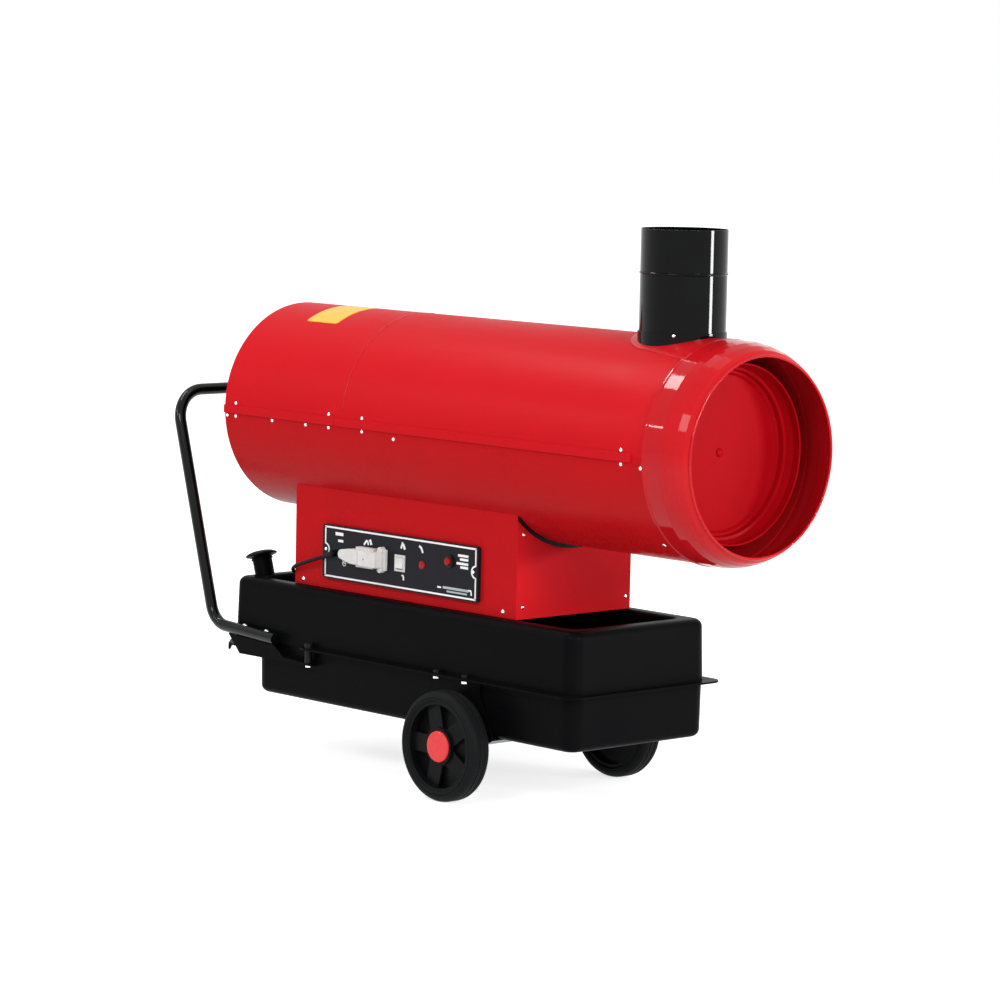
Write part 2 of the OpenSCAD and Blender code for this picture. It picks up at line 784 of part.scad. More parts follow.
side_screws = [[base_rear_x + 25, 10], [base_front_x - 34, 11]];
module base_side(near) {
    x0 = base_rear_x + base_wall + seat;
    l = base_front_x - base_rear_x - 2 * base_wall - 2 * seat;
    difference() {
        union() {
            translate([x0, -base_hw, base_z]) cube([l, base_wall, body_axis_z - base_z - 60]);
            // returns behind the end plates and over the floor pan
            difference() {
                for (x = [x0, x0 + l - base_wall]) translate([x, -base_hw, base_z])
                    cube([base_wall, 22, 230]);
                body_cut(saddle_cut_r);
            }
            translate([x0, -base_hw, base_z]) cube([l, 18, base_wall]);
        }
        body_cut(body_r + seat);
        for (s = side_screws) translate([s[0], -base_hw - 2, base_z + s[1]]) rotate([-90, 0, 0])
            cylinder(r = shank_r + 0.1, h = 8, $fn = 24);
        if (near) {
            translate([gland_x, -base_hw - 5, gland_z]) rotate([-90, 0, 0])
                cylinder(r = 6.2, h = 10, $fn = 24);
            translate([window_x0, -base_hw - 5, panel_z - 34]) cube([window_l, 20, 68]);
            for (x = panel_screw_x) translate([x, -base_hw - 5, panel_screw_z]) rotate([-90, 0, 0])
                cylinder(r = shank_r + 0.1, h = 10, $fn = 24);
        } else {
            // louvres that cool the electrical parts
            for (i = [0 : 5]) translate([11 + 30 * i, -base_hw - 5, panel_z - 30])
                linear_extrude(height = 60)
                square([8, 20]);
        }
    }
}

module base_side_near() {
    color("#d0232a") difference() {
        base_side(true);
        end_holes();
    }
}

module base_side_far() {
    color("#d0232a") difference() {
        mirror([0, 1, 0]) base_side(false);
        end_holes();
    }
}

floor_z = base_z + base_wall + seat;
module base_floor() {
    x0 = base_rear_x + 2 * base_wall + 2 * seat;
    x1 = base_front_x - 2 * base_wall - 2 * seat;
    hw = base_hw - base_wall - seat;
    color("#8c8f92") difference() {
        union() {
            translate([x0, -hw, floor_z]) cube([x1 - x0, 2 * hw, base_wall]);
            for (s = [-1, 1]) translate([x0, s > 0 ? hw - base_wall : -hw, floor_z])
                cube([x1 - x0, base_wall, 18]);
        }
        for (x = line_hole_x) translate([x, 0, floor_z - 5]) cylinder(r = 16, h = 20);
        for (s = side_screws, y = [-base_hw, base_hw - 6]) translate([s[0], y, base_z + s[1]])
            rotate([-90, 0, 0]) cylinder(r = shank_r + 0.1, h = 6, $fn = 24);
    }
}

// black edging in the gap between the end plates and the body
module base_trim() {
    color("#17181a") for (x = [base_rear_x + 0.3 - 2, base_front_x - base_wall - 2.3]) difference() {
        intersection() {
            on_axis(x) pipe(saddle_cut_r - seat, body_r + seat, 5.5);
            translate([x - 5, -base_hw + 3, base_z]) cube([20, base_w - 6, body_axis_z - base_z]);
        }
    }
}

module control_box() {
    color("#2f3338") translate([-129, -70, floor_z + base_wall]) {
        difference() {
            cube([120, 90, 74]);
            translate([4, 4, 60]) cube([112, 82, 20]);
        }
        translate([8, 8, 60]) cube([104, 74, 10]);
        for (i = [0 : 4]) translate([14 + 20 * i, -8, 6]) cube([12, 8, 10]);
    }
}

module ignition_transformer() {
    color("#3b3f44") translate([51, -45, floor_z + base_wall]) {
        cube([96, 74, 62]);
        for (s = [22, 52]) translate([96, s, 34]) rotate([0, 90, 0]) cylinder(r = 9, h = 22);
        translate([-8, 6, 0]) cube([112, 62, 3]);
    }
}

filter_x = -244;
module fuel_filter() {
    color("#cfd3d8") translate([filter_x, 40, floor_z + base_wall]) {
        translate([-24, -20, 0]) cube([48, 4, 84]);
        translate([0, 0, 62]) cylinder(r = 19, h = 20);
        translate([-6, -18, 64]) cube([12, 20, 16]);
        translate([0, 0, 12]) cylinder(r = 15, h = 52);
        translate([0, 0, 6]) cylinder(r = 6, h = 8);
    }
}

// copper lines: tank to filter, filter to pump and pump to nozzle
line_r = 3;
module fuel_lines() {
    top = floor_z + base_wall + 74;
    pump_z = body_axis_z - 8;
    color("#b5703c") {
        rod([[line_hole_x[0] - 6, -6, tank_bottom_z + 14], [line_hole_x[0] - 6, -6, top],
            [line_hole_x[0] - 6, 40, top], [filter_x - 19, 40, top]], line_r);
        rod([[filter_x + 19, 40, top], [filter_x + 32, 40, top], [filter_x + 32, 74, top + 20],
            [line_hole_x[0] + 5, 6, top + 20], [line_hole_x[0] + 5, 6, 505],
            [motor_rear_x - 22, 6, 505], [motor_rear_x - 22, 46, 520], [motor_rear_x - 22, 46, pump_z + 8],
            [motor_rear_x - 22, 40 + seat, pump_z + 8]], line_r);
        rod([[motor_rear_x - 22, -40 - seat, pump_z + 8], [motor_rear_x - 22, -46, pump_z + 8],
            [motor_rear_x - 22, -46, 490], [line_hole_x[0] + 8, -10, 490],
                [line_hole_x[0] + 8, -10, top + 34],
            [line_hole_x[1], -4, top + 34], [line_hole_x[1], -4, 540], [burner_x + 92, -4, 540],
            [burner_x + 92, -4, body_axis_z - burner_r - 0.1]], line_r);
    }
}

// Control panel

panel_screw_x = [panel_x - panel_l / 2 + 10, panel_x + panel_l / 2 - 12];
panel_screw_z = panel_z + 4;
rocker_x = panel_x0 + 217.5;
rocker_z = panel_z - 1;
lamp_x = panel_x0 + 277;
lamp_z = panel_z + 2;
button_x = panel_x0 + 351;
button_z = panel_z + 16.5;
gland_x = panel_x0 + 37;
gland_z = panel_z - 1.5;
socket_l = 58;
socket_x1 = panel_x0 + 182;
socket_x0 = socket_x1 - socket_l;
socket_z = panel_z + 0.5;
window_x0 = gland_x + 14;
window_l = button_x + 20 - window_x0; // opening behind the panel

module panel_cut(x, z, r) {
    translate([x, panel_y - 5, z]) rotate([-90, 0, 0]) cylinder(r = r, h = panel_t + 10);
}

module control_panel() {
    c = 5;
    color("#1b1c1e") difference() {
        translate([panel_x, -base_hw - seat, panel_z]) rotate([90, 0, 0])
            linear_extrude(height = panel_t - seat) plate(-panel_l / 2, panel_l / 2, panel_h / 2, c);
        // hollow back, with the walls and the front left
        translate([window_x0 + 4, -base_hw - panel_t + 3, panel_z - 30])
            cube([window_l - 8, panel_t, 60]);
        translate([rocker_x - rocker_w / 2 - 2.6, panel_y - 1, rocker_z - rocker_h / 2 - 2.6])
            cube([rocker_w + 5.2, 10, rocker_h + 5.2]);
        panel_cut(lamp_x, lamp_z, lamp_d / 2 - 1.5);
        panel_cut(button_x, button_z, button_d / 2 + 2.6);
        panel_cut(gland_x, gland_z, 6);
        translate([socket_x0 + 10, panel_y - 1, socket_z - 8]) cube([50, 10, 16]);
        for (x = panel_screw_x) panel_cut(x, panel_screw_z, shank_r + 0.1);
    }
}

// switch frame, lamp lens and the dark collar of the reset button
module panel_fittings() {
    color("#c9cccf") translate([rocker_x, panel_y, rocker_z]) rotate([90, 0, 0]) difference() {
        union() {
            translate([0, 0, seat]) linear_extrude(height = 2)
                square([rocker_w + 8, rocker_h + 8], center = true);
            translate([0, 0, -14]) linear_extrude(height = 15)
                square([rocker_w + 5, rocker_h + 5], center = true);
        }
        translate([0, 0, -12]) linear_extrude(height = 20)
            square([rocker_w + 0.8, rocker_h + 0.8], center = true);
        translate([0, 0, panel_y - pin_y]) rotate([0, 90, 0])
            cylinder(r = pin_r + 0.05, h = rocker_w + 3.4, center = true);
    }
    color("#d8202a") translate([lamp_x, panel_y, lamp_z]) rotate([90, 0, 0]) {
        translate([0, 0, seat]) rotate_extrude() polygon(concat([[0, 0], [lamp_d / 2, 0]],
            [for (i = [0 : 6]) [lamp_d / 2 * cos(15 * i), 1 + 2 * sin(15 * i)]]));
        translate([0, 0, -16]) cylinder(r = lamp_d / 2 - 1.7, h = 17);
    }
    color("#151617") translate([button_x, panel_y, button_z]) rotate([90, 0, 0]) difference() {
        union() {
            translate([0, 0, seat]) cylinder(r = button_d / 2 + 4.5, h = 4);
            translate([0, 0, -14]) cylinder(r = button_d / 2 + 2.4, h = 15);
        }
        translate([0, 0, -11]) cylinder(r = button_d / 2 + 0.4, h = 30);
    }
}

// The rocker lies with its upper half pressed in at rest and turns on a pin in the switch frame
pin_y = panel_y + 3.5;
pin_r = 1.5;
module rocker() {
    h = rocker_h / 2 * 0.92;
    color("#d2d5d7") translate([rocker_x, pin_y, rocker_z]) rotate([-rocker_angle, 0, 0]) {
        rotate([90, 0, 90]) linear_extrude(height = rocker_w, center = true)
            polygon([[-8, -h], [-6.1, 0], [-8, h], [-0.5, h], [2.5, 3], [2.5, -3], [-0.5, -h]]);
        rotate([0, 90, 0]) cylinder(r = pin_r, h = rocker_w + 3, center = true);
    }
}

module reset_button() {
    color("#c01d26") translate([button_x, panel_y, button_z]) rotate([90, 0, 0])
        translate([0, 0, -7]) rotate_extrude() polygon(concat([[0, 0], [button_d / 2, 0]],
            [for (i = [0 : 5]) [button_d / 2 - 1.5 + 1.5 * cos(18 * i), 14 + 1.5 * sin(18 * i)]],
                [[0, 15.8]]));
}

// Thermostat connector: the plug leaves the sideways socket towards -X
plug_y = panel_y - seat;
pin_l = 14;
pin_z = [-7, 0, 7];
module thermostat_socket() {
    l = socket_l;
    color("#b9bcbc") difference() {
        translate([socket_x0, plug_y, socket_z]) rotate([90, 0, 0]) union() {
            translate([4, -15, 0]) cube([l - 8, 30, 3]);
            translate([0, -14, 0]) cube([l - 10, 28, 22]);
            translate([l - 12, -13, 0]) cube([10, 26, 13]);
            // flange with an ear at its top and bottom
            translate([l - 21, -19, 0]) cube([21, 38, 6]);
            for (s = [-1, 1]) translate([l - 11, s * 17, 0]) cylinder(r = 6.5, h = 10);
            latch_bars(0, 31);
        }
        for (z = pin_z) translate([socket_x0 - 1, plug_y - 12, socket_z + z]) rotate([0, 90, 0])
            cylinder(r = 1.6, h = pin_l + 4, $fn = 24);
        translate([socket_x0 + 16, plug_y - 17, socket_z - 1.5]) rotate([90, 0, 0])
            cylinder(r = 2, h = 8, $fn = 24);
    }
}

// bars of the latch frame above and below the connector, set back from its front
module latch_bars(x, l) {
    for (s = [-1, 1]) translate([x, s * 16 - 2.5, 0]) cube([l, 5, 13]);
}

module thermostat_plug() {
    l = 56;
    x1 = socket_x0 - 0.3;
    color("#c4c6c6") translate([x1, plug_y - 0.5, socket_z]) rotate([90, 0, 0]) {
        linear_extrude(height = 20) polygon(concat([[0, -14], [0, 14.5], [-24, 14]],
            arc(-l + 9, 1.5, 9, 105, 235, 6), [[-24, -13]]));
        translate([-12, -12, 0]) cube([11, 24, 22.5]);
        latch_bars(-14, 14);
    }
    color("#c8a860") for (z = pin_z) translate([x1 - 2, plug_y - 12, socket_z + z]) rotate([0, 90, 0])
        cylinder(r = 1.3, h = pin_l + 2, $fn = 24);
    // wire loops of the retaining clip
    color("#d9dcde") translate([x1 - l + 9, plug_y - 12, socket_z]) rotate([90, 0, 0]) {
        translate([0, -11.6, 0]) rotate_extrude() translate([4.2, 0]) circle(r = 0.9, $fn = 16);
        translate([0, -16.4, 0.4]) rotate_extrude() translate([4.2, 0]) circle(r = 0.7, $fn = 16);
    }
}

// Mains lead: an angled boot, the free stretch, a flat coil in the rear tray and the plug

boot_dir = [-0.949, 0, -0.316];
boot_p = [gland_x, panel_y - 7.5, gland_z];
module cord_gland() {
    color("#101112") {
        translate([gland_x, panel_y, gland_z]) rotate([90, 0, 0]) {
            translate([0, 0, seat]) cylinder(r = 6.5, h = 3);
            translate([0, 0, -10]) cylinder(r = 5.8, h = 11);
            cylinder(r = 6, h = 7.5);
        }
        translate(boot_p) {
            sphere(r = 6.4);
            rotate([0, -90 + asin(boot_dir[2]), 0]) cylinder(r1 = 6, r2 = lead_d / 2 + 0.9, h = 24);
        }
    }
}

lead_r = lead_d / 2;
coil_c = [-417, 34];
coil_pitch = lead_d + 1.9;
coil_in = 32.5;
tray_top = tray_z + tank_wall;
coil_z = tray_top + lead_r + 0.3;

// height and radius of the coil after a turn count: in, over the half turn that climbs, and out
coil_total = 2 * coil_turns + 0.5;
function coil_r(t) = t < coil_turns ? coil_in + coil_pitch * (coil_turns - t)
    : t < coil_turns + 0.5 ? coil_in : coil_in + coil_pitch * (t - coil_turns - 0.5);
function ease(u) = u * u * (3 - 2 * u);
function coil_h(t) = t < coil_turns ? 0
    : t < coil_turns + 0.5 ? (lead_d + 0.9) * ease(2 * (t - coil_turns)) : lead_d + 0.9;
coil_start = 180;
function coil_point(t) = let(a = coil_start - 360 * t)
    [coil_c[0] + coil_r(t) * cos(a), coil_c[1] + coil_r(t) * sin(a), coil_z + coil_h(t)];
coil_steps = round(coil_total * 24);
coil_turn_pts = [for (i = [0 : coil_steps]) coil_point(coil_total * i / coil_steps)];
// the last stretch runs straight to the plug
coil_pts = concat(coil_turn_pts, [for (y = [16, 32, 46]) coil_turn_pts[coil_steps] - [0, y, 0]]);
coil_n = len(coil_pts) - 1;

// the least gap between turns, measured on points more than a quarter turn apart
coil_gap = min([for (i = [0 : coil_n], j = [i + 12 : 1 : coil_n])
    norm(coil_pts[i] - coil_pts[j])]) - lead_d;
echo(coil_gap = coil_gap);

// a smooth path through chosen points
function spline(p, n) = [for (i = [0 : len(p) - 2], k = [0 : n - 1]) let(
        a = p[max(i - 1, 0)], b = p[i], c = p[i + 1], d = p[min(i + 2, len(p) - 1)], t = k / n)
    0.5 * (2 * b + (c - a) * t + (2 * a - 5 * b + 4 * c - d) * t * t
        + (3 * b - a - 3 * c + d) * t * t * t)];

lead_start = boot_p + 24.3 * boot_dir;
lead_route = concat([lead_start, lead_start + 10 * boot_dir],
    [[-333, -154, 367], [-354, -151, 359], [-369, -141, 351], [-377, -124, 342],
    [-380, -102, 329], [-383, -80, 315], [-393, -58, 302], [-411, -40, 293],
    [-432, -33, 289], [-451, -21, 286.4], [-463, -3, coil_z]]);
module mains_lead() {
    p = concat(spline(lead_route, 4), [[coil_pts[0][0], 14, coil_z], [coil_pts[0][0], 27, coil_z]]);
    color("#101112") sweep(p, lead_r, 8);
}

module lead_coil() {
    p = concat([[coil_pts[0][0], 27, coil_z]], coil_pts);
    color("#101112") sweep(p, lead_r, 6);
}

// a round two-pin plug that lies in the tray
plug_p = coil_pts[coil_n];
module mains_plug() {
    r = 17;
    color("#101112") translate(plug_p) rotate([90, 0, 0])
        cylinder(r1 = lead_r + 0.8, r2 = lead_r + 2.5, h = 16);
    translate([plug_p[0], plug_p[1] - 15, tray_top + r + 0.3]) rotate([90, 0, 0]) {
        color("#101112") difference() {
            union() {
                cylinder(r1 = 12, r2 = r, h = 12);
                translate([0, 0, 12]) cylinder(r = r, h = 12);
            }
            translate([0, 0, 22]) cylinder(r = r - 3, h = 4);
        }
        color("#c9ccd0") for (s = [-1, 1]) translate([9.5 * s, 0, 21]) cylinder(r = 2.4, h = 19);
    }
}

// Fuel tank

// sheet profile of the upper half: wall and rolled rim, drawn from the middle of a corner
edge_r = 15;
rim_in = 16.5;        // inner end of the rolled edge, from the wall
module upper_profile() {
    r = tank_corner;
    t = tank_wall;
    top = rim_z;
    polygon(concat([[r + wall_lean, seam_z]], [[r - 1.5, top - edge_r - 3]],
        arc(r - rim_in, top - edge_r, edge_r, 12, 90), [[r - rim_in - 1, top], [r - rim_in - 1, top - t]],
        arc(r - rim_in, top - edge_r, edge_r - t, 90, 12),
        [[r - 1.5 - t, top - edge_r - 3], [r + wall_lean - t, seam_z]]));
}

// sheet profile of the wall of the tray
tray_edge_r = 9;
module tray_profile() {
    c = tray_corner + tray_edge_r;
    z = rim_z - tray_edge_r;
    polygon(concat([[c + 1, rim_z]], arc(c, z, tray_edge_r, 90, 180, 4), [[tray_corner, tray_z],
        [tray_corner + tank_wall, tray_z]], arc(c, z, tray_edge_r - tank_wall, 180, 90, 4),
        [[c + 1, rim_z - tank_wall]]));
}

// a plan like that of the tank, drawn in by a distance and with its own corner radius
module tank_plan(d, r) {
    plate(tank_rear_x + d, tank_front_x - d, tank_hw - d, r);
}

// plan of the seam flange, wide from flange_x0 forwards and trimmed behind it
module flange_plan() {
    tank_plan(-2, tank_corner + 2);
    difference() {
        plate(flange_x0, tank_front_x + flange_w, tank_hw + flange_w, tank_corner);
        for (s = [0, 1]) mirror([0, s]) translate([flange_x0 - 1, tank_hw + 2])
            square([tank_corner + 2, flange_w]);
    }
    for (s = [0, 1]) mirror([0, s])
        polygon([[flange_x0 + 4, tank_hw], [flange_x0 + 12, tank_hw + flange_w - 5],
        [flange_x0 + 28, tank_hw + flange_w], [flange_x0 + 74, tank_hw + flange_w],
            [flange_x0 + 74, tank_hw]]);
}

bolt_x = [tilt_x, axle_x - 66, axle_x + 9];
bolt_y = tank_hw + 10;
bolt_r = 3;
module flange_holes() {
    for (x = bolt_x, s = [-1, 1]) translate([x, s * bolt_y, seam_z - 30])
        cylinder(r = bolt_r + 0.15, h = 60, $fn = 24);
}

neck_p = [-487, -100];
neck_l = 80;
module at_neck(z) {
    translate([neck_p[0], neck_p[1], tray_z]) rotate([0, -neck_tilt, 0]) translate([0, 0, z]) children();
}

module tank_upper() {
    color("#1c1d1f") difference() {
        union() {
            around(tank_rear_x, tank_front_x, tank_hw, tank_corner) upper_profile();
            translate([0, 0, rim_z - tank_wall]) linear_extrude(height = tank_wall) difference() {
                tank_plan(rim_in, tank_corner - rim_in);
                tank_plan(tray_inset - tray_edge_r, tray_corner + tray_edge_r);
            }
            around(tank_rear_x + tray_inset, tank_front_x - tray_inset, tank_hw - tray_inset, tray_corner)
                tray_profile();
            translate([0, 0, tray_z]) linear_extrude(height = tank_wall)
                tank_plan(tray_inset - tank_wall, tray_corner + tank_wall);
            difference() {
                translate([0, 0, seam_z]) linear_extrude(height = tank_wall) flange_plan();
                translate([0, 0, seam_z - 1]) linear_extrude(height = 5) tank_plan(1, tank_corner - 1);
            }
            // filler neck with a rolled mouth
            at_neck(-12) cylinder(r = neck_d / 2, h = neck_l + 12);
            at_neck(neck_l - 3) rotate_extrude() translate([neck_d / 2, 0]) circle(r = 2, $fn = 20);
        }
        at_neck(-20) cylinder(r = neck_d / 2 - 1.8, h = neck_l + 40);
        flange_holes();
        translate([line_hole_x[0] - 6, -6, tray_z - 5]) cylinder(r = line_r + 0.2, h = 12);
    }
}

module lower_profile() {
    r = tank_corner - lower_in;
    t = tank_wall;
    round_r = 14;
    bottom = tank_bottom_z;
    polygon(concat([[r + 0.5, seam_z - seat]], arc(r - 1 - round_r, bottom + round_r, round_r, 0, -90),
        [[0, bottom], [0, bottom + t]], arc(r - 1 - round_r, bottom + round_r, round_r - t, -90, 0),
        [[r + 0.5 - t, seam_z - seat]]));
}

module tank_lower() {
    color("#1c1d1f") difference() {
        union() {
            around(sump_rear_x, tank_front_x - lower_in, tank_hw - lower_in, tank_corner - lower_in)
                lower_profile();
            translate([sump_rear_x + tank_corner - 4, -tank_hw + tank_corner - 1, tank_bottom_z])
                cube([tank_front_x - sump_rear_x - 2 * tank_corner + 5, tank_w - 2 * tank_corner + 2,
                    tank_wall]);
            difference() {
                translate([0, 0, seam_z - tank_wall - seat]) linear_extrude(height = tank_wall)
                    flange_plan();
                translate([0, 0, seam_z - 10]) linear_extrude(height = 20)
                    plate(sump_rear_x + 1, tank_front_x - lower_in - 1, tank_hw - lower_in - 1,
                        tank_corner - lower_in - 1);
            }
            // drain boss with its plug
            translate([-249, 0, tank_bottom_z - 7]) cylinder(r = 14, h = 8);
            translate([-249, 0, tank_bottom_z - 13]) cylinder(r = 9, h = 7, $fn = 6);
        }
        flange_holes();
    }
}

module filler_cap() {
    r = cap_d / 2;
    color("#151618") at_neck(neck_l) rotate_extrude() polygon(concat(
        [[0, -22], [neck_d / 2 - 3.5, -22], [neck_d / 2 - 2.3, -20], [neck_d / 2 - 2.3, 0.5],
        [neck_d / 2 + 3, 0.5], [r - 3, 2.5]], arc(r - 2.2, 4.8, 2.2, -60, 60, 4),
        [for (i = [1 : 5]) [(r - 3) * cos(18 * i), 6.6 + 6 * sin(18 * i)]]));
}

strainer_l = 54;      // reach of the basket below the tray
module fuel_strainer() {
    r = neck_d / 2 - 2.6;
    color("#b9b6a2") at_neck(-strainer_l) difference() {
        union() {
            cylinder(r = r, h = strainer_l + neck_l - 24);
            translate([0, 0, strainer_l + neck_l - 27]) cylinder(r = neck_d / 2 - 1.85, h = 3);
        }
        translate([0, 0, 1.2]) cylinder(r = r - 1.2, h = 140);
        // the mesh windows of the basket
        for (z = [8 : 10 : 38], a = [0 : 60 : 120]) translate([0, 0, z]) rotate([0, 0, a])
            cube([60, 9, 6], center = true);
    }
}

// Trolley

// a strap that hangs from the flange on both sides and carries the axle under the tank
module axle_hanger() {
    y = hanger_y;
    top = seam_z - tank_wall - 2 * seat;
    color("#202123") difference() {
        union() {
            for (s = [0, 1]) mirror([0, s, 0]) {
                translate([0, -y, 0]) rotate([90, 0, 0]) linear_extrude(height = hanger_t)
                    polygon([[axle_x - 78, top], [axle_x + 42, top], [axle_x + 42, top - 26],
                        [axle_x + 76, tank_bottom_z + 6], [axle_x + 76, tank_bottom_z - 3.2],
                        [axle_x + 22, wheel_r - 14], [axle_x - 22, wheel_r - 14],
                        [axle_x - 70, tank_bottom_z - 3.2], [axle_x - 78, tank_bottom_z + 6]]);
                translate([axle_x - 78, -y - 13.5, top - hanger_t]) cube([120, 14, hanger_t]);
            }
            translate([axle_x - 70, -y, tank_bottom_z - 3.2]) cube([146, 2 * y, hanger_t]);
        }
        translate([axle_x, -track_w, wheel_r]) rotate([-90, 0, 0])
            cylinder(r = axle_r + 0.1, h = 2 * track_w);
        flange_holes();
    }
}

module axle() {
    l = 2 * (wheel_y + axle_end);
    color("#9fa3a7") translate([axle_x, -l / 2, wheel_r]) rotate([-90, 0, 0]) cylinder(r = axle_r, h = l);
    // collars that hold the wheels off the hanger
    color("#9fa3a7") for (s = [-1, 1]) translate([axle_x, s * (wheel_y - hub_hw - 3.2), wheel_r])
        rotate([90, 0, 0])
        difference() {
            cylinder(r = axle_r + 5, h = 5.6, center = true);
            cylinder(r = axle_r, h = 10, center = true);
        }
}

// One wheel, drawn round +Z with its outer face up
rim_r = wheel_r - 21;
wheel_hub_r = axle_r + 9;
hub_collar_r = hub_cap_d / 2 + 6.5; // collar round the hub cap
module wheel_rim() {
    spoke_l = rim_r - 2;
    color("#1d1e20") difference() {
        union() {
            translate([0, 0, -hub_hw]) cylinder(r = wheel_hub_r, h = hub_hw + hub_top);
            cylinder(r = hub_collar_r, h = hub_top);
            translate([0, 0, hub_top - 1]) pipe(hub_collar_r - 1.2, hub_cap_d / 2 + 1, 4.6);
            // dished web
            rotate_extrude() polygon([[wheel_hub_r - 1, 2], [rim_r - 14, -6], [rim_r, -6], [rim_r, -2],
                [rim_r - 13, -2], [wheel_hub_r - 1, 7]]);
            // rim barrel
            translate([0, 0, -tyre_w / 2 + 4]) pipe(rim_r + 2, rim_r - 3, tyre_w - 8);
            // broad spokes that slope down to the rim
            for (i = [0 : spokes_n - 1]) rotate([0, 0, 360 * i / spokes_n + 180]) rotate([90, 0, 0])
                linear_extrude(height = spoke_w, center = true)
                    polygon([[hub_collar_r - 8, 2], [spoke_l, -4], [spoke_l, 8.5], [hub_collar_r, hub_top - 1.5],
                        [hub_collar_r - 8, hub_top - 1.5]]);
        }
        translate([0, 0, -hub_hw - 1]) cylinder(r = axle_r + hub_gap, h = 2 * hub_hw + 2);
    }
}

// tyre with a rounded tread
module wheel_tyre() {
    w = tyre_w / 2;
    tr = 13;
    color("#121314") difference() {
        rotate_extrude($fn = 72) polygon(concat([[rim_r + 2, -w + 4], [rim_r + 5, -w]],
            arc(wheel_r - tr, -w + tr, tr, -90, 0, 5), arc(wheel_r - tr, w - tr, tr, 0, 90, 5),
            [[rim_r + 5, w], [rim_r + 2, w - 4]]));
        // side grooves between bead and tread, and two round the tread
        for (s = [-1, 1]) {
            translate([0, 0, s * w]) rotate_extrude() translate([wheel_r - 13, 0])
                circle(r = 1.2, $fn = 12);
            translate([0, 0, s * 5.5]) rotate_extrude() translate([wheel_r, 0]) circle(r = 1.4, $fn = 16);
        }
    }
}

// stands a wheel part on the axle with its outer face away from the tank
module at_wheel(side) {
    translate([axle_x, side * wheel_y, wheel_r]) rotate([-90 * side, 0, 0]) children();
}

module wheel_near_rim() {
    at_wheel(-1) wheel_rim();
}

module wheel_near_tyre() {
    at_wheel(-1) wheel_tyre();
}

module wheel_far_rim() {
    at_wheel(1) wheel_rim();
}

module wheel_far_tyre() {
    at_wheel(1) wheel_tyre();
}

// red caps that cover the ends of the axle and hold the wheels on
module hub_caps() {
    r = hub_cap_d / 2;
    color("#e03a3a") for (s = [-1, 1]) at_wheel(s) difference() {
        rotate_extrude() polygon(concat([[0, hub_top + 0.4], [r, hub_top + 0.4], [r, 16.5]],
            arc(r - 3, 16.5, 3, 20, 70, 3), [[r - 9, 19.7], [0, 20]]));
        cylinder(r = axle_r, h = axle_end);
    }
}

// sheet foot under the rear of the tank
foot_x = -81;
foot_l = 44;
foot_hw = 62;
module rear_foot() {
    top = tank_bottom_z - seat;
    color("#202123") translate([foot_x, 0, 0]) {
        for (s = [0, 1]) mirror([0, s, 0]) translate([0, foot_hw, 0]) rotate([90, 0, 0])
            linear_extrude(height = 3)
                polygon([[-foot_l / 2, 3], [foot_l / 2, 3], [foot_l / 2 + 12, top],
                    [-foot_l / 2 - 12, top]]);
        translate([-foot_l / 2, -foot_hw, 0]) cube([foot_l, 2 * foot_hw, 3]);
        for (x = [-foot_l / 2 - 12, foot_l / 2 - 12]) translate([x, -foot_hw, top - 3])
            cube([24, 2 * foot_hw, 3]);
    }
}

// Handle

// turns what belongs to the handle about the trimmed end of the flange
module at_bracket() {
    translate([tilt_x, 0, bracket_z]) rotate([0, bracket_tilt, 0]) translate([-tilt_x, 0, -bracket_z])
        children();
}

cradle_h = 18;
tube_z = bracket_z + handle_r + cradle_h;
tube_end_x = flange_x0 - 62;
bend_x = tank_rear_x - 3.45;
bend_angle = 90 - handle_lean - bracket_tilt;
// height where the leg leaves the foot bend, with the tilt of the bracket
leg_z = bracket_z + (tube_z - bracket_z + foot_bend * (1 - cos(bend_angle))) * cos(bracket_tilt)
    - (bend_x - foot_bend * sin(bend_angle) - tilt_x) * sin(bracket_tilt);
leg_l = (handle_top_z - leg_z) / cos(handle_lean) - grip_bend;

// middle line of one side of the tube: run, foot bend, leg and the grip bend that turns inwards
leg_dir = [-cos(bend_angle), 0, sin(bend_angle)];
foot_bend_end = [bend_x - foot_bend * sin(bend_angle), -handle_y,
    tube_z + foot_bend * (1 - cos(bend_angle))];
side_path = concat([[tube_end_x, -handle_y, tube_z]],
    [for (i = [0 : 7]) let(a = bend_angle * i / 7)
        [bend_x - foot_bend * sin(a), -handle_y, tube_z + foot_bend * (1 - cos(a))]],
    [for (i = [0 : 9]) let(a = 10 * i)
        foot_bend_end + leg_dir * (leg_l + grip_bend * sin(a)) + [0, grip_bend * (1 - cos(a)), 0]]);
handle_path = concat(side_path, [for (i = [len(side_path) - 1 : -1 : 0])
    [side_path[i][0], -side_path[i][1], side_path[i][2]]]);

module handle() {
    color("#121314") at_bracket() difference() {
        sweep_pipe(handle_path, handle_r, handle_wall, 16);
        for (x = handle_screw_x, s = [-1, 1]) translate([x, s * handle_y, tube_z - 30])
            cylinder(r = shank_r + 0.15, h = 60, $fn = 24);
    }
}

handle_screw_x = [tube_end_x - 90, tube_end_x - 26];

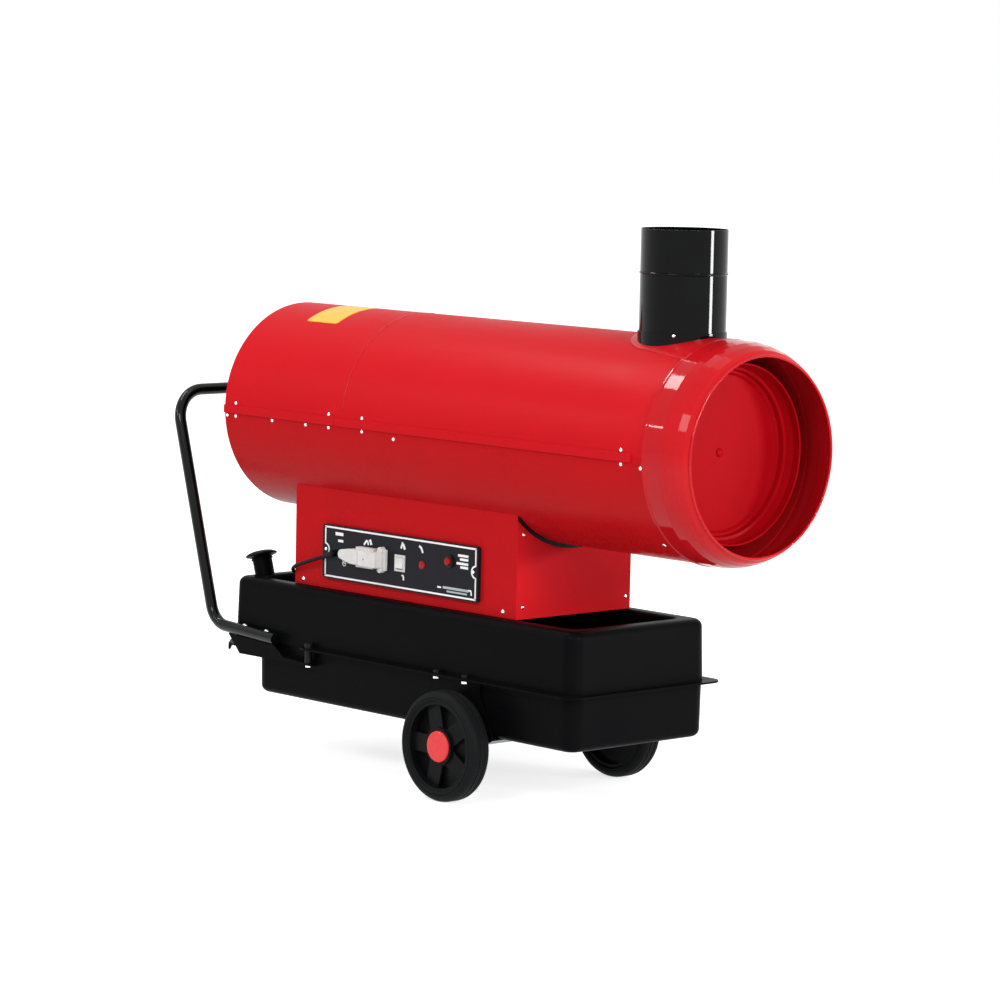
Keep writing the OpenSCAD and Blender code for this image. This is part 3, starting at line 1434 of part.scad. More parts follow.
// shelf under the overhang of the tank, with a lip at the rear and a side plate under each tube
module handle_bracket() {
    x0 = tank_rear_x - 14;
    x1 = bolt_x[0] + 14;
    hw = handle_y + 4;
    color("#1d1e20") at_bracket() {
        difference() {
            union() {
                translate([0, 0, bracket_z - 3]) linear_extrude(height = 3) shelf_plan(x0, x1, hw);
                translate([0, 0, bracket_z - 12]) linear_extrude(height = 10) difference() {
                    shelf_plan(x0, x1, hw);
                    shelf_plan(x0 + 3, x1 + 3, hw - 3);
                    translate([x0 + 30, -hw - 1]) square([x1 - x0, 2 * hw + 2]);
                }
                for (s = [0, 1]) mirror([0, s, 0]) translate([0, -hw + 3, bracket_z]) rotate([90, 0, 0])
                    linear_extrude(height = 3) polygon([[tube_end_x - 134, cradle_h - 0.2],
                        [tube_end_x - 98, -15], [tube_end_x + 26, -8], [x1, -3], [x1, 0],
                        [tube_end_x + 30, 0], [tube_end_x, cradle_h - 0.2]]);
                // cradles that lift the tubes off the shelf
                for (s = [-1, 1], x = handle_screw_x)
                    translate([x - 14, s * (handle_y - 3) - 7, bracket_z - 1])
                    cube([28, 14, cradle_h + 0.8]);
            }
            translate([sump_rear_x - 8, -tank_hw - 2, bracket_z - 30])
                cube([x1 - sump_rear_x + 20, tank_w + 4, 60]);
            for (x = handle_screw_x, s = [-1, 1]) translate([x, s * handle_y, bracket_z - 30])
                cylinder(r = shank_r + 0.15, h = 60, $fn = 24);
            for (s = [-1, 1]) translate([bolt_x[0], s * bolt_y, bracket_z - 20])
                cylinder(r = bolt_r + 0.6, h = 40, $fn = 24);
        }
    }
}

module shelf_plan(x0, x1, hw) {
    polygon([[x0 + 26, -hw], [x1, -hw], [x1, hw], [x0 + 26, hw], [x0, hw - 26], [x0, -hw + 26]]);
}

// bent strip on the rear wall that the lead is hung on
function wall_x(z) = tank_rear_x - 1.55 + (z - seam_z - tank_wall) * 3 / (rim_z - 18 - seam_z - tank_wall);
module cord_hook() {
    t = 3;
    out = tank_rear_x - 16;
    color("#1a1b1d") translate([0, -75, 0]) rotate([90, 0, 0]) linear_extrude(height = 16, center = true)
        polygon([[wall_x(232), 232], [wall_x(232) - t, 232], [wall_x(245) - t, 245], [out, 253], [out, 274],
            [wall_x(282) - t, 283], [wall_x(292) - t, 292], [wall_x(292), 292], [wall_x(282), 281],
            [out + t, 272.6], [out + t, 254.4], [wall_x(246), 246]]);
}

// Fasteners

module sheet_screws() {
    color("#e6e8ea") {
        for (s = body_screw_list, side = [0, 1])
            on_body(s[0], s[1], side, body_r + 0.05) dome_screw(screw_r, shank_r, 6);
        at_flue_screw() dome_screw(3, 1.5, 2.1);
        for (s = end_screws) {
            translate([base_front_x + 0.05, s[0], base_z + s[1]]) rotate([0, 90, 0])
                dome_screw(screw_r, shank_r, 5);
            translate([base_rear_x - 0.05, s[0], base_z + s[1]]) rotate([0, -90, 0])
                dome_screw(screw_r, shank_r, 5);
        }
        for (s = side_screws, m = [0, 1]) mirror([0, m, 0])
            translate([s[0], -base_hw - 0.05, base_z + s[1]]) rotate([90, 0, 0])
                dome_screw(screw_r + 0.8, shank_r, 5);
        for (x = panel_screw_x) translate([x, panel_y - 0.05, panel_screw_z]) rotate([90, 0, 0])
            dome_screw(screw_r, shank_r, panel_t + 3);
    }
}

// bolts through the flange, the spacers below it and the screws of the handle
module tank_bolts() {
    top = seam_z + tank_wall;
    color("#2a2b2d") for (s = [-1, 1]) {
        for (i = [0 : 2]) translate([bolt_x[i], s * bolt_y, 0]) {
            bottom = i == 0 ? bracket_z - 7.6 : seam_z - tank_wall - 2 * seat - hanger_t - 4;
            translate([0, 0, bottom]) cylinder(r = bolt_r, h = top + 2 - bottom);
            translate([0, 0, top + 0.05])
                cylinder(r = i == 0 ? 7.3 : 5.5, h = i == 0 ? 9 : 5, $fn = i == 0 ? 32 : 6);
            translate([0, 0, bottom]) cylinder(r = 5.5, h = 3.9, $fn = 6);
            if (i == 0) translate([0, 0, bracket_z + 0.45])
                cylinder(r = 7, h = seam_z - tank_wall - 2 * seat - bracket_z - 0.45);
        }
        at_bracket() for (x = handle_screw_x) translate([x, s * handle_y, tube_z + handle_r + 0.05])
            dome_screw(5, shank_r, 2 * handle_r + 16);
    }
}

lower_body();
rear_cover();
front_cover();
seam_rails();
outlet_ring();
intake_ring();
intake_grille();
flue_saddle();
flue_lower();
flue_upper();
exchanger_drum();
combustion_chamber();
exchanger_brackets();
motor();
motor_bearings();
motor_bracket();
fan_shaft();
fan_hub();
fan_blades();
burner_housing();
burner_impeller();
burner_tube();
burner_nozzle();
fuel_pump();
base_ends();
base_side_near();
base_side_far();
base_floor();
base_trim();
control_box();
ignition_transformer();
fuel_filter();
fuel_lines();
control_panel();
panel_fittings();
rocker();
reset_button();
thermostat_socket();
thermostat_plug();
cord_gland();
mains_lead();
lead_coil();
mains_plug();
tank_upper();
tank_lower();
filler_cap();
fuel_strainer();
axle_hanger();
axle();
wheel_near_rim();
wheel_near_tyre();
wheel_far_rim();
wheel_far_tyre();
hub_caps();
rear_foot();
handle();
handle_bracket();
cord_hook();
sheet_screws();
tank_bolts();
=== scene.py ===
import math
import bpy
from mathutils import Matrix, Vector


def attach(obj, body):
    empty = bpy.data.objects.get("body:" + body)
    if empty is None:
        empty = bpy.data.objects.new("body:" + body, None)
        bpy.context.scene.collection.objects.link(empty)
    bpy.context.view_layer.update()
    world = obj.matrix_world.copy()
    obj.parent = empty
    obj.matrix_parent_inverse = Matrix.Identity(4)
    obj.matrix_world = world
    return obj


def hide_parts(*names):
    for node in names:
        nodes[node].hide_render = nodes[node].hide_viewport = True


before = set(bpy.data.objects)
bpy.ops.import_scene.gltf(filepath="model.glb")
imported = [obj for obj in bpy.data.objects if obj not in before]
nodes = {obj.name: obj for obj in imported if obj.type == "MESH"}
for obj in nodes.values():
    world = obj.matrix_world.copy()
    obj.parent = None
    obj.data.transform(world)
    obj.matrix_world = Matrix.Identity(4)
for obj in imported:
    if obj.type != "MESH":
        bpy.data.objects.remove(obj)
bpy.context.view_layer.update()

scene = bpy.context.scene
print("frame loaded:", len(nodes), "nodes")


# camera, fitted to the photo
camera = {
    "place": (5.31644, -4.85716, 1.29550),
    "yaw": 0.826623,
    "pitch": 0.108813,
    "roll": 0.021046,
    "lens": 144.0028,
    "sensor": 36,
    "farClip": 60,
}


def makeCamera(spec):
    yaw, pitch, roll = spec["yaw"], spec["pitch"], spec["roll"]
    ahead = Vector((-math.sin(yaw) * math.cos(pitch), math.cos(yaw) * math.cos(pitch), -math.sin(pitch)))
    side = Vector((math.cos(yaw), math.sin(yaw), 0))
    up = side.cross(ahead)
    across = side * math.cos(roll) + up * math.sin(roll)
    upward = up * math.cos(roll) - side * math.sin(roll)
    data = bpy.data.cameras.new("studioCamera")
    data.lens = spec["lens"]
    data.sensor_width = spec["sensor"]
    data.clip_end = spec["farClip"]
    cam = bpy.data.objects.new("studioCamera", data)
    turn = Matrix((across, upward, -ahead)).transposed()
    cam.matrix_world = Matrix.Translation(spec["place"]) @ turn.to_4x4()
    scene.collection.objects.link(cam)
    scene.camera = cam


makeCamera(camera)


# shared helpers

def hexColour(text):
    parts = [int(text[i:i + 2], 16) / 255 for i in (0, 2, 4)]
    return tuple(c / 12.92 if c <= 0.04045 else ((c + 0.055) / 1.055) ** 2.4 for c in parts) + (1,)


def addNode(tree, kind, settings=None, links=None):
    node = tree.nodes.new(kind)
    for key, value in (settings or {}).items():
        if key == "stops":
            # the places and colours of a ramp
            band = node.color_ramp.elements
            while len(band) < len(value):
                band.new(0.5)
            for stop, (place, colour) in zip(band, value):
                stop.position, stop.color = place, colour
        elif isinstance(key, int) or key in node.inputs:
            node.inputs[key].default_value = value
        else:
            setattr(node, key, value)
    for key, source in (links or {}).items():
        tree.links.new(source, node.inputs[key])
    return node


def emptyMaterial(name):
    mat = bpy.data.materials.new(name)
    mat.use_nodes = True
    mat.node_tree.nodes.clear()
    return mat, mat.node_tree


def grey(value):
    return (value, value, value, 1)


mottle = {
    "darkAt": 0.32, "baseAt": 0.62,  # levels of the slow noise
    "fineShare": 0.5,                # of the fine noise, added to the slow one
    "span": (0.5, 1.0),              # of both together, from least to most roughness
    "edgeSamples": 4,
}
fineGrain = {"perMetre": 900.0, "depth": 0.00002}


def surface(name, base, dark, metallic, roughness, grain, bump, ior=None, level=None, edge=0.0006, cloud=9.0):
    # base and dark are sRGB hex, roughness is (least, most), grain is the size of the texture in mm and
    # bump its depth in mm, edge is the rounding of the piece's edges in metres, cloud the slow change per metre
    mat, tree = emptyMaterial(name)
    shader = addNode(tree, "ShaderNodeBsdfPrincipled")
    addNode(tree, "ShaderNodeOutputMaterial", links={"Surface": shader.outputs[0]})
    place = addNode(tree, "ShaderNodeTexCoord").outputs["Object"]
    slow = addNode(tree, "ShaderNodeTexNoise", {"Scale": cloud, "Detail": 4.0, "Roughness": 0.6},
        {"Vector": place})
    fine = addNode(tree, "ShaderNodeTexNoise", {"Scale": 1000 / grain, "Detail": 3.0}, {"Vector": place})
    stops = [(mottle["darkAt"], hexColour(dark)), (mottle["baseAt"], hexColour(base))]
    tint = addNode(tree, "ShaderNodeValToRGB", {"stops": stops}, {"Fac": slow.outputs[0]})
    tree.links.new(tint.outputs[0], shader.inputs["Base Color"])
    both = addNode(tree, "ShaderNodeMath", {"operation": "MULTIPLY_ADD", 1: mottle["fineShare"]},
        {0: fine.outputs[0], 2: slow.outputs[0]})
    shine = addNode(tree, "ShaderNodeMapRange", {"From Min": mottle["span"][0], "From Max": mottle["span"][1],
        "To Min": roughness[0], "To Max": roughness[1]}, {"Value": both.outputs[0]})
    tree.links.new(shine.outputs[0], shader.inputs["Roughness"])
    rounded = addNode(tree, "ShaderNodeBevel", {"samples": mottle["edgeSamples"], "Radius": edge})
    relief = addNode(tree, "ShaderNodeBump", {"Strength": 1.0, "Distance": bump / 1000},
        {"Height": fine.outputs[0], "Normal": rounded.outputs[0]})
    tree.links.new(relief.outputs[0], shader.inputs["Normal"])
    shader.inputs["Metallic"].default_value = metallic
    if ior:
        shader.inputs["IOR"].default_value = ior
    if level:
        shader.inputs["Specular IOR Level"].default_value = level
    return mat


print("materials")
# polyester powder coat, baked on the steel covers and the housing's ends: an even satin with a faint
# orange peel
redPowderCoat = surface("redPowderCoat", "C6161F", "C3151E", 0, (0.34, 0.46), 3.0, 0.02,
    ior=1.5, level=0.035)
# the same coat on the lower half and the housing's sides, with a darker base colour: painted shade for the lower
# half, turned away from the light, and for the sides under the body
paintedShadeRedCoat = surface("paintedShadeRedCoat", "BC151A", "B81419", 0, (0.24, 0.34), 3.0, 0.012,
    ior=1.5, level=0.03)
# the same coat on the spun ring and the rolled edge of the cover, which come out glossier, with a darker base colour
# that is painted shade
redGlossPaintedShade = surface("redGlossPaintedShade", "BA131B", "B6121A", 0, (0.03, 0.06), 4.0, 0.01,
    ior=1.5, level=0.12)
# the same coat on the exchanger, a little duller from heat
warmRedCoat = surface("warmRedCoat", "A00611", "980610", 0, (0.3, 0.42), 3.0, 0.03,
    ior=1.5, level=0.03)
# textured polyester powder coat on the pressed tank and its brackets: satin black
blackPowderCoat = surface("blackPowderCoat", "0A0A0B", "08080A", 0, (0.3, 0.42), 1.6, 0.04,
    ior=1.5, level=0.022)
# stoved enamel on the rolled flue: mirror-like black with a faint roller wave
blackEnamel = surface("blackEnamel", "060708", "040405", 0, (0.03, 0.05), 14.0, 0.012,
    ior=1.52, level=0.11, cloud=14.0)
# black paint, sprayed on the bent handle tube and the guard's wires: a full gloss
blackTubePaint = surface("blackTubePaint", "080A0A", "070808", 0, (0.04, 0.07), 2.0, 0.008,
    ior=1.5, level=0.22)
# cold rolled steel with a light oil film, formed and left bare
bareSteel = surface("bareSteel", "A4A7AA", "8E9195", 1, (0.3, 0.48), 1.2, 0.02)
# zinc plated screws: bright with a bluish cast
zincPlate = surface("zincPlate", "E9ECEE", "D5D9DD", 1, (0.16, 0.28), 0.8, 0.01, cloud=80.0)
# sand cast and tumbled aluminium: pale, softly pitted
castAluminium = surface("castAluminium", "B9BCBF", "A4A8AB", 1, (0.38, 0.55), 1.4, 0.06)
# grey hammer paint on the motor
greyMotorPaint = surface("greyMotorPaint", "6B7075", "5C6166", 0, (0.28, 0.42), 3.4, 0.12, ior=1.5)
# turned brass of the nozzle and drawn copper of the fuel lines, both with a thin oxide
turnedBrass = surface("turnedBrass", "C8A055", "AE8640", 1, (0.22, 0.36), 0.9, 0.01)
drawnCopper = surface("drawnCopper", "B9714A", "9A5738", 1, (0.28, 0.42), 1.5, 0.015)
# moulded polypropylene of the wheels, the filler cap and the tie: black with a fine spark texture
blackPolypropylene = surface("blackPolypropylene", "101112", "0C0D0E", 0, (0.34, 0.46), 0.9, 0.03,
    ior=1.49, level=0.06)
# solid rubber tyres: dull charcoal with mould bloom
solidRubber = surface("solidRubber", "121314", "0D0E0F", 0, (0.5, 0.68), 1.1, 0.06,
    ior=1.52, level=0.07)
# red polypropylene hub caps: glossy moulding
redPolypropylene = surface("redPolypropylene", "E83A3C", "E03436", 0, (0.24, 0.34), 1.2, 0.015,
    ior=1.49, level=0.3)
# light grey moulded ABS of the connector and the switch
greyAbs = surface("greyAbs", "DAD8D5", "D0CECC", 0, (0.28, 0.4), 0.9, 0.015,
    ior=1.54, level=0.3, cloud=30.0)
# dark grey moulded ABS, the shell of the control box
darkAbs = surface("darkAbs", "1B1D1F", "17191B", 0, (0.36, 0.5), 0.9, 0.02,
    ior=1.54, level=0.2)
# the front sheet of the panel: black lacquer with a satin face
blackLacquer = surface("blackLacquer", "1A1A20", "16171C", 0, (0.28, 0.38), 1.0, 0.012,
    ior=1.5, level=0.08, cloud=18.0)
# flexible PVC, extruded round the mains lead and moulded as its boot, its plug and the housing's edging
pvcSheath = surface("pvcSheath", "0C0D0E", "090A0A", 0, (0.34, 0.46), 1.4, 0.02,
    ior=1.53, level=0.08, edge=0.0002)
# screen-printed inks of the panel: flat white and grey
whiteInk = surface("whiteInk", "F2F3F2", "E4E6E5", 0, (0.4, 0.5), 0.6, 0.004, ior=1.5, edge=0.0001)
greyInk = surface("greyInk", "A9B4B8", "9CA7AB", 0, (0.4, 0.5), 0.6, 0.004, ior=1.5, edge=0.0001)
# cast vinyl film of the blank sticker
yellowVinyl = surface("yellowVinyl", "F5B91C", "EDAE14", 0, (0.3, 0.4), 2.0, 0.008, ior=1.5, edge=0.0001)
# moulded nylon of the filter's bowl and the strainer: milky
paleNylon = surface("paleNylon", "D9DAD2", "C8C9C0", 0, (0.3, 0.44), 0.8, 0.02, ior=1.53)
# moulded red acrylic of the reset button: a clear gloss
redAcrylic = surface("redAcrylic", "A01018", "900D14", 0, (0.12, 0.2), 1.5, 0.01,
    ior=1.49, level=0.15, edge=0.0004)
# nickel plated brass, the turned pins of the mains plug
nickelPins = surface("nickelPins", "D8D9DA", "C4C6C8", 1, (0.12, 0.22), 0.7, 0.006, edge=0.0002)


def parted(name, axis, stops, looks, behind=None, centre=None):
    # One node in several finishes, parted at places along an axis in metres, each look being its hex colour,
    # metallic, least and most roughness and level. behind = (axis, place) adds one metre to the measure of what
    # lies below that place, so that it has stops of its own. With centre the measure is the distance from an
    # upright line at that x.
    mat, tree = emptyMaterial(name)
    place = addNode(tree, "ShaderNodeTexCoord").outputs["Object"]
    apart = addNode(tree, "ShaderNodeSeparateXYZ", links={0: place})
    along = apart.outputs[axis]
    if behind:
        below = addNode(tree, "ShaderNodeMath", {"operation": "LESS_THAN", 1: behind[1]},
            {0: apart.outputs[behind[0]]})
        along = addNode(tree, "ShaderNodeMath", {"operation": "ADD"}, {0: along, 1: below.outputs[0]}).outputs[0]
    if centre:
        flat = addNode(tree, "ShaderNodeVectorMath",
            {"operation": "MULTIPLY_ADD", 1: (1, 1, 0), 2: (-centre, 0, 0)}, {0: place})
        away = addNode(tree, "ShaderNodeVectorMath", {"operation": "LENGTH"}, {0: flat.outputs[0]})
        along = away.outputs["Value"]
    grain = addNode(tree, "ShaderNodeTexNoise", {"Scale": fineGrain["perMetre"], "Detail": 3.0}, {"Vector": place})
    relief = addNode(tree, "ShaderNodeBump", {"Strength": 1.0, "Distance": fineGrain["depth"]},
        {"Height": grain.outputs[0]})
    last = None
    for i, (base, metallic, least, most, level) in enumerate(looks):
        shine = addNode(tree, "ShaderNodeMapRange", {"To Min": least, "To Max": most}, {"Value": grain.outputs[0]})
        shader = addNode(tree, "ShaderNodeBsdfPrincipled", {"Base Color": hexColour(base), "Metallic": metallic,
            "Specular IOR Level": level}, {"Normal": relief.outputs[0], "Roughness": shine.outputs[0]})
        if last is None:
            last = shader
            continue
        past = addNode(tree, "ShaderNodeMath", {"operation": "GREATER_THAN", 1: stops[i - 1]}, {0: along})
        last = addNode(tree, "ShaderNodeMixShader", links={0: past.outputs[0], 1: last.outputs[0],
            2: shader.outputs[0]})
    addNode(tree, "ShaderNodeOutputMaterial", links={"Surface": last.outputs[0]})
    return mat


looks = {
    "zinc": ("E4E7EA", 1.0, 0.2, 0.32, 0.5),
    "blackened": ("101112", 0.0, 0.35, 0.5, 0.15),
    "enamel": ("060708", 0.0, 0.04, 0.08, 0.11),
    "redCoat": ("C6161F", 0.0, 0.2, 0.3, 0.12),
    "greyPlastic": ("CFCDCB", 0.0, 0.28, 0.4, 0.3),
    "redLens": ("A01018", 0.0, 0.12, 0.2, 0.15),
    "blackPlastic": ("121315", 0.0, 0.34, 0.46, 0.15),
}
# the tank's bolts: in front zinc nuts and blackened heads, at the rear zinc nuts, blackened spacers and the
# zinc screws of the handle
flangeBolts = parted("flangeBolts", 2, (0.2118, 0.5, 1.187, 1.2278),
    [looks[k] for k in ("zinc", "blackened", "zinc", "blackened", "zinc")], behind=(0, 0.0))
# the plate in the covers' red, its collar in the flue's enamel
flueCollar = parted("flueCollar", 0, (0.0776,), (looks["enamel"], looks["redCoat"]), centre=0.493)
# the switch frame, the lamp's lens and the collar of the button
panelTrim = parted("panelTrim", 0, (-0.029, 0.031), (looks["greyPlastic"], looks["redLens"], looks["blackPlastic"]))

# the lower half, the housing's sides and the ring take the darker reds, which are painted shade
finishes = {
    "lower_body": paintedShadeRedCoat, "rear_cover": redPowderCoat, "front_cover": redPowderCoat,
    "seam_rails": paintedShadeRedCoat, "outlet_ring": redGlossPaintedShade, "intake_ring": redPowderCoat,
    "flue_saddle": flueCollar, "base_ends": redPowderCoat, "base_side_near": paintedShadeRedCoat,
    "base_side_far": paintedShadeRedCoat, "exchanger_drum": warmRedCoat, "intake_grille": blackTubePaint,
    "flue_lower": blackEnamel, "flue_upper": blackEnamel, "combustion_chamber": bareSteel,
    "exchanger_brackets": bareSteel, "motor": greyMotorPaint, "motor_bearings": bareSteel,
    "motor_bracket": blackPowderCoat, "fan_shaft": bareSteel, "fan_hub": castAluminium,
    "fan_blades": castAluminium, "burner_housing": bareSteel, "burner_impeller": castAluminium,
    "burner_tube": bareSteel, "burner_nozzle": turnedBrass, "fuel_pump": castAluminium,
    "base_floor": bareSteel, "base_trim": pvcSheath, "control_box": darkAbs,
    "ignition_transformer": blackPowderCoat, "fuel_filter": paleNylon, "fuel_lines": drawnCopper,
    "control_panel": blackLacquer, "panel_fittings": panelTrim, "rocker": greyAbs, "reset_button": redAcrylic,
    "thermostat_socket": greyAbs, "thermostat_plug": greyAbs, "cord_gland": pvcSheath,
    "mains_plug": pvcSheath, "tank_upper": blackPowderCoat, "tank_lower": blackPowderCoat,
    "filler_cap": blackPolypropylene, "fuel_strainer": paleNylon, "axle_hanger": blackPowderCoat,
    "axle": bareSteel, "wheel_near_rim": blackPolypropylene, "wheel_near_tyre": solidRubber,
    "wheel_far_rim": blackPolypropylene, "wheel_far_tyre": solidRubber, "hub_caps": redPolypropylene,
    "rear_foot": blackPowderCoat, "handle_bracket": blackPowderCoat, "cord_hook": blackPowderCoat,
    "sheet_screws": zincPlate, "tank_bolts": flangeBolts}

for name, mat in finishes.items():
    for slot in nodes[name].material_slots:
        slot.material = mat


# mesh helpers

def addMesh(name, verts, faces, mat, smooth=False):
    mesh = bpy.data.meshes.new(name)
    mesh.from_pydata([tuple(v) for v in verts], [], faces)
    mesh.validate()
    mesh.update()
    obj = bpy.data.objects.new(name, mesh)
    scene.collection.objects.link(obj)
    mesh.materials.append(mat)
    for face in mesh.polygons:
        face.use_smooth = smooth
    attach(obj, "heater")
    return obj


def addCurve(name, points, radius, mat, cyclic=False, sides=6):
    data = bpy.data.curves.new(name, "CURVE")
    data.dimensions = "3D"
    data.bevel_depth = radius
    data.bevel_resolution = sides
    data.use_fill_caps = not cyclic
    line = data.splines.new("POLY")
    line.points.add(len(points) - 1)
    for place, point in zip(line.points, points):
        place.co = (*point, 1)
    line.use_cyclic_u = cyclic
    line.use_smooth = True
    data.materials.append(mat)
    obj = bpy.data.objects.new(name, data)
    scene.collection.objects.link(obj)
    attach(obj, "heater")
    return obj


def lathe(name, profile, origin, axis, mat, steps, crease=38):
    # profile is (radius, height) along axis, with a flat face at each end; edges sharper than crease, in
    # degrees, stay sharp
    axis = Vector(axis).normalized()
    first = axis.orthogonal().normalized()
    second = axis.cross(first)
    verts, faces = [], []
    for radius, height in profile:
        for k in range(steps):
            angle = 2 * math.pi * k / steps
            out = first * math.cos(angle) + second * math.sin(angle)
            verts.append(Vector(origin) + axis * height + out * radius)
    for row in range(len(profile) - 1):
        for k in range(steps):
            nxt = (k + 1) % steps
            faces.append((row * steps + k, row * steps + nxt, (row + 1) * steps + nxt, (row + 1) * steps + k))
    faces.append(tuple(range(steps - 1, -1, -1)))
    faces.append(tuple(range((len(profile) - 1) * steps, len(profile) * steps)))
    obj = addMesh(name, verts, faces, mat, smooth=True)
    edges = obj.modifiers.new("crisp", "EDGE_SPLIT")
    edges.split_angle = math.radians(crease)
    return obj


def smoothPath(points, count):
    # Catmull-Rom through the points, count steps for each stretch
    out = []
    for i in range(len(points) - 1):
        a, b = points[max(i - 1, 0)], points[i]
        c, d = points[i + 1], points[min(i + 2, len(points) - 1)]
        for k in range(count):
            t = k / count
            out.append(tuple(0.5 * (2 * q + (r - p) * t + (2 * p - 5 * q + 4 * r - s) * t * t
                + (3 * q - p - 3 * r + s) * t ** 3) for p, q, r, s in zip(a, b, c, d)))
    return out


print("mains lead")
lead = {
    "radius": 0.0035,
    "gland": (-0.241, -0.1545, 0.396),
    "way": (-0.949, 0.0, -0.316),
    "boot": 0.0243,
    "straight": 0.010,  # before the first bend
    "pathSteps": 6,     # between two points of the way
    "layBy": [(-0.333, -0.154, 0.367), (-0.354, -0.151, 0.359), (-0.369, -0.141, 0.351), (-0.377, -0.124, 0.342),
        (-0.380, -0.102, 0.329), (-0.383, -0.080, 0.315), (-0.393, -0.058, 0.302), (-0.411, -0.040, 0.293),
        (-0.432, -0.033, 0.289), (-0.451, -0.021, 0.2864), (-0.463, -0.003, 0.2864)],
    "coilAt": (-0.417, 0.034, 0.2864),
    "coilIn": 0.0325,
    "pitch": 0.0089,
    "climb": 0.0079,
    "layers": 2,        # turns in each of the two layers
    "rise": 0.5,        # of a turn, between the layers
    "turnSteps": 36,
    "runIn": (0.014, 0.027),
    "tail": (0.016, 0.032, 0.046),
}


def coilPoint(turn):
    layer = lead["layers"]
    across, lift = lead["coilIn"], 0
    if turn < layer:
        across += lead["pitch"] * (layer - turn)
    elif turn < layer + lead["rise"]:
        ease = (turn - layer) / lead["rise"]
        lift = lead["climb"] * ease * ease * (3 - 2 * ease)
    else:
        across += lead["pitch"] * (turn - layer - lead["rise"])
        lift = lead["climb"]
    angle = math.pi - 2 * math.pi * turn
    x, y, z = lead["coilAt"]
    return (x + across * math.cos(angle), y + across * math.sin(angle), z + lift)


def leadPoints():
    start = tuple(g + lead["boot"] * w for g, w in zip(lead["gland"], lead["way"]))
    away = tuple(s + lead["straight"] * w for s, w in zip(start, lead["way"]))
    turns = 2 * lead["layers"] + lead["rise"]
    coilSteps = int(turns * lead["turnSteps"])
    coil = [coilPoint(turns * i / coilSteps) for i in range(coilSteps + 1)]
    points = smoothPath([start, away] + lead["layBy"], lead["pathSteps"])
    points += [(coil[0][0], y, coil[0][2]) for y in lead["runIn"]]
    points += coil
    points += [(coil[-1][0], coil[-1][1] - y, coil[-1][2]) for y in lead["tail"]]
    return points


leadLine = leadPoints()
mainsLead = addCurve("mainsLead", leadLine, lead["radius"], pvcSheath)
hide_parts("mains_lead", "lead_coil")

plug = {
    "ribs": 11,
    "ribFrom": 0.001,
    "ribStep": 0.0012,
    "ribRadius": 0.0052,
    "ribRise": 0.0009,
    "ribFlare": 0.00005,
    "ribSides": 24,
    "necks": ((0.0046, 0.0), (0.0050, 0.0145)),
    "pin": ((0.0024, 0.0), (0.0024, 0.0176), (0.0019, 0.0189)),
    "pinSides": 20,
    "pinAside": 0.0095,
    "pinAlong": 0.0361,
    "pinZ": 0.2999,
}
tie = {
    "radius": 0.0009,
    "loop": ((0.0625, 0.2829), (0.0875, 0.2829), (0.0893, 0.2852), (0.0893, 0.2956), (0.0875, 0.2982),
        (0.0625, 0.2982), (0.0607, 0.2956), (0.0607, 0.2852)),
}

# moulded ribs on the plug's strain relief
plugEnd = leadLine[-1]
ribs = [(plug["ribRadius"] + plug["ribRise"] * (i % 2) + plug["ribFlare"] * i, plug["ribFrom"] + plug["ribStep"] * i)
    for i in range(plug["ribs"])]
plugRibs = lathe("plugRibs", [plug["necks"][0]] + ribs + [plug["necks"][1]], plugEnd, (0, -1, 0), pvcSheath,
    plug["ribSides"])
plugPins = [lathe("plugPin%d" % i, plug["pin"], (plugEnd[0] + plug["pinAside"] * s, plugEnd[1] - plug["pinAlong"],
    plug["pinZ"]), (0, -1, 0), nickelPins, plug["pinSides"]) for i, s in enumerate((-1, 1))]
# a tie keeps the coil together
leadTie = addCurve("leadTie", [(lead["coilAt"][0], y, z) for y, z in tie["loop"]], tie["radius"],
    blackPolypropylene, cyclic=True, sides=2)


print("handle")
handle = {
    "radius": 0.011, "spread": 0.359, "topZ": 0.664, "lean": 16.5, "tilt": 3.0,
    "gripBend": 0.062, "footBend": 0.048, "pivot": (-0.279, 0.190), "tubeZ": 0.219,
    "endX": -0.373, "bendX": -0.52045, "footSteps": 12, "gripSteps": 16,
}


def handleLine():
    h = handle
    tilt, px, pz = math.radians(h["tilt"]), h["pivot"][0], h["pivot"][1]
    bend = math.radians(90 - h["lean"] - h["tilt"])
    half = h["spread"] / 2
    legZ = pz + (h["tubeZ"] - pz + h["footBend"] * (1 - math.cos(bend))) * math.cos(tilt) \
        - (h["bendX"] - h["footBend"] * math.sin(bend) - px) * math.sin(tilt)
    leg = (h["topZ"] - legZ) / math.cos(math.radians(h["lean"])) - h["gripBend"]
    foot = [(h["bendX"] - h["footBend"] * math.sin(bend * i / h["footSteps"]), -half,
        h["tubeZ"] + h["footBend"] * (1 - math.cos(bend * i / h["footSteps"]))) for i in range(h["footSteps"] + 1)]
    end = foot[-1]
    grip = []
    for i in range(h["gripSteps"] + 1):
        angle = math.pi / 2 * i / h["gripSteps"]
        reach = leg + h["gripBend"] * math.sin(angle)
        grip.append((end[0] - math.cos(bend) * reach, -half + h["gripBend"] * (1 - math.cos(angle)),
            end[2] + math.sin(bend) * reach))
    side = [(h["endX"], -half, h["tubeZ"])] + foot + grip
    line = side + [(x, -y, z) for x, y, z in reversed(side)]
    turned = []
    for x, y, z in line:
        dx, dz = x - px, z - pz
        turned.append((px + dx * math.cos(tilt) + dz * math.sin(tilt), y,
            pz - dx * math.sin(tilt) + dz * math.cos(tilt)))
    return turned


handleTube = addCurve("handleTube", handleLine(), handle["radius"], blackTubePaint, sides=8)
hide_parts("handle")


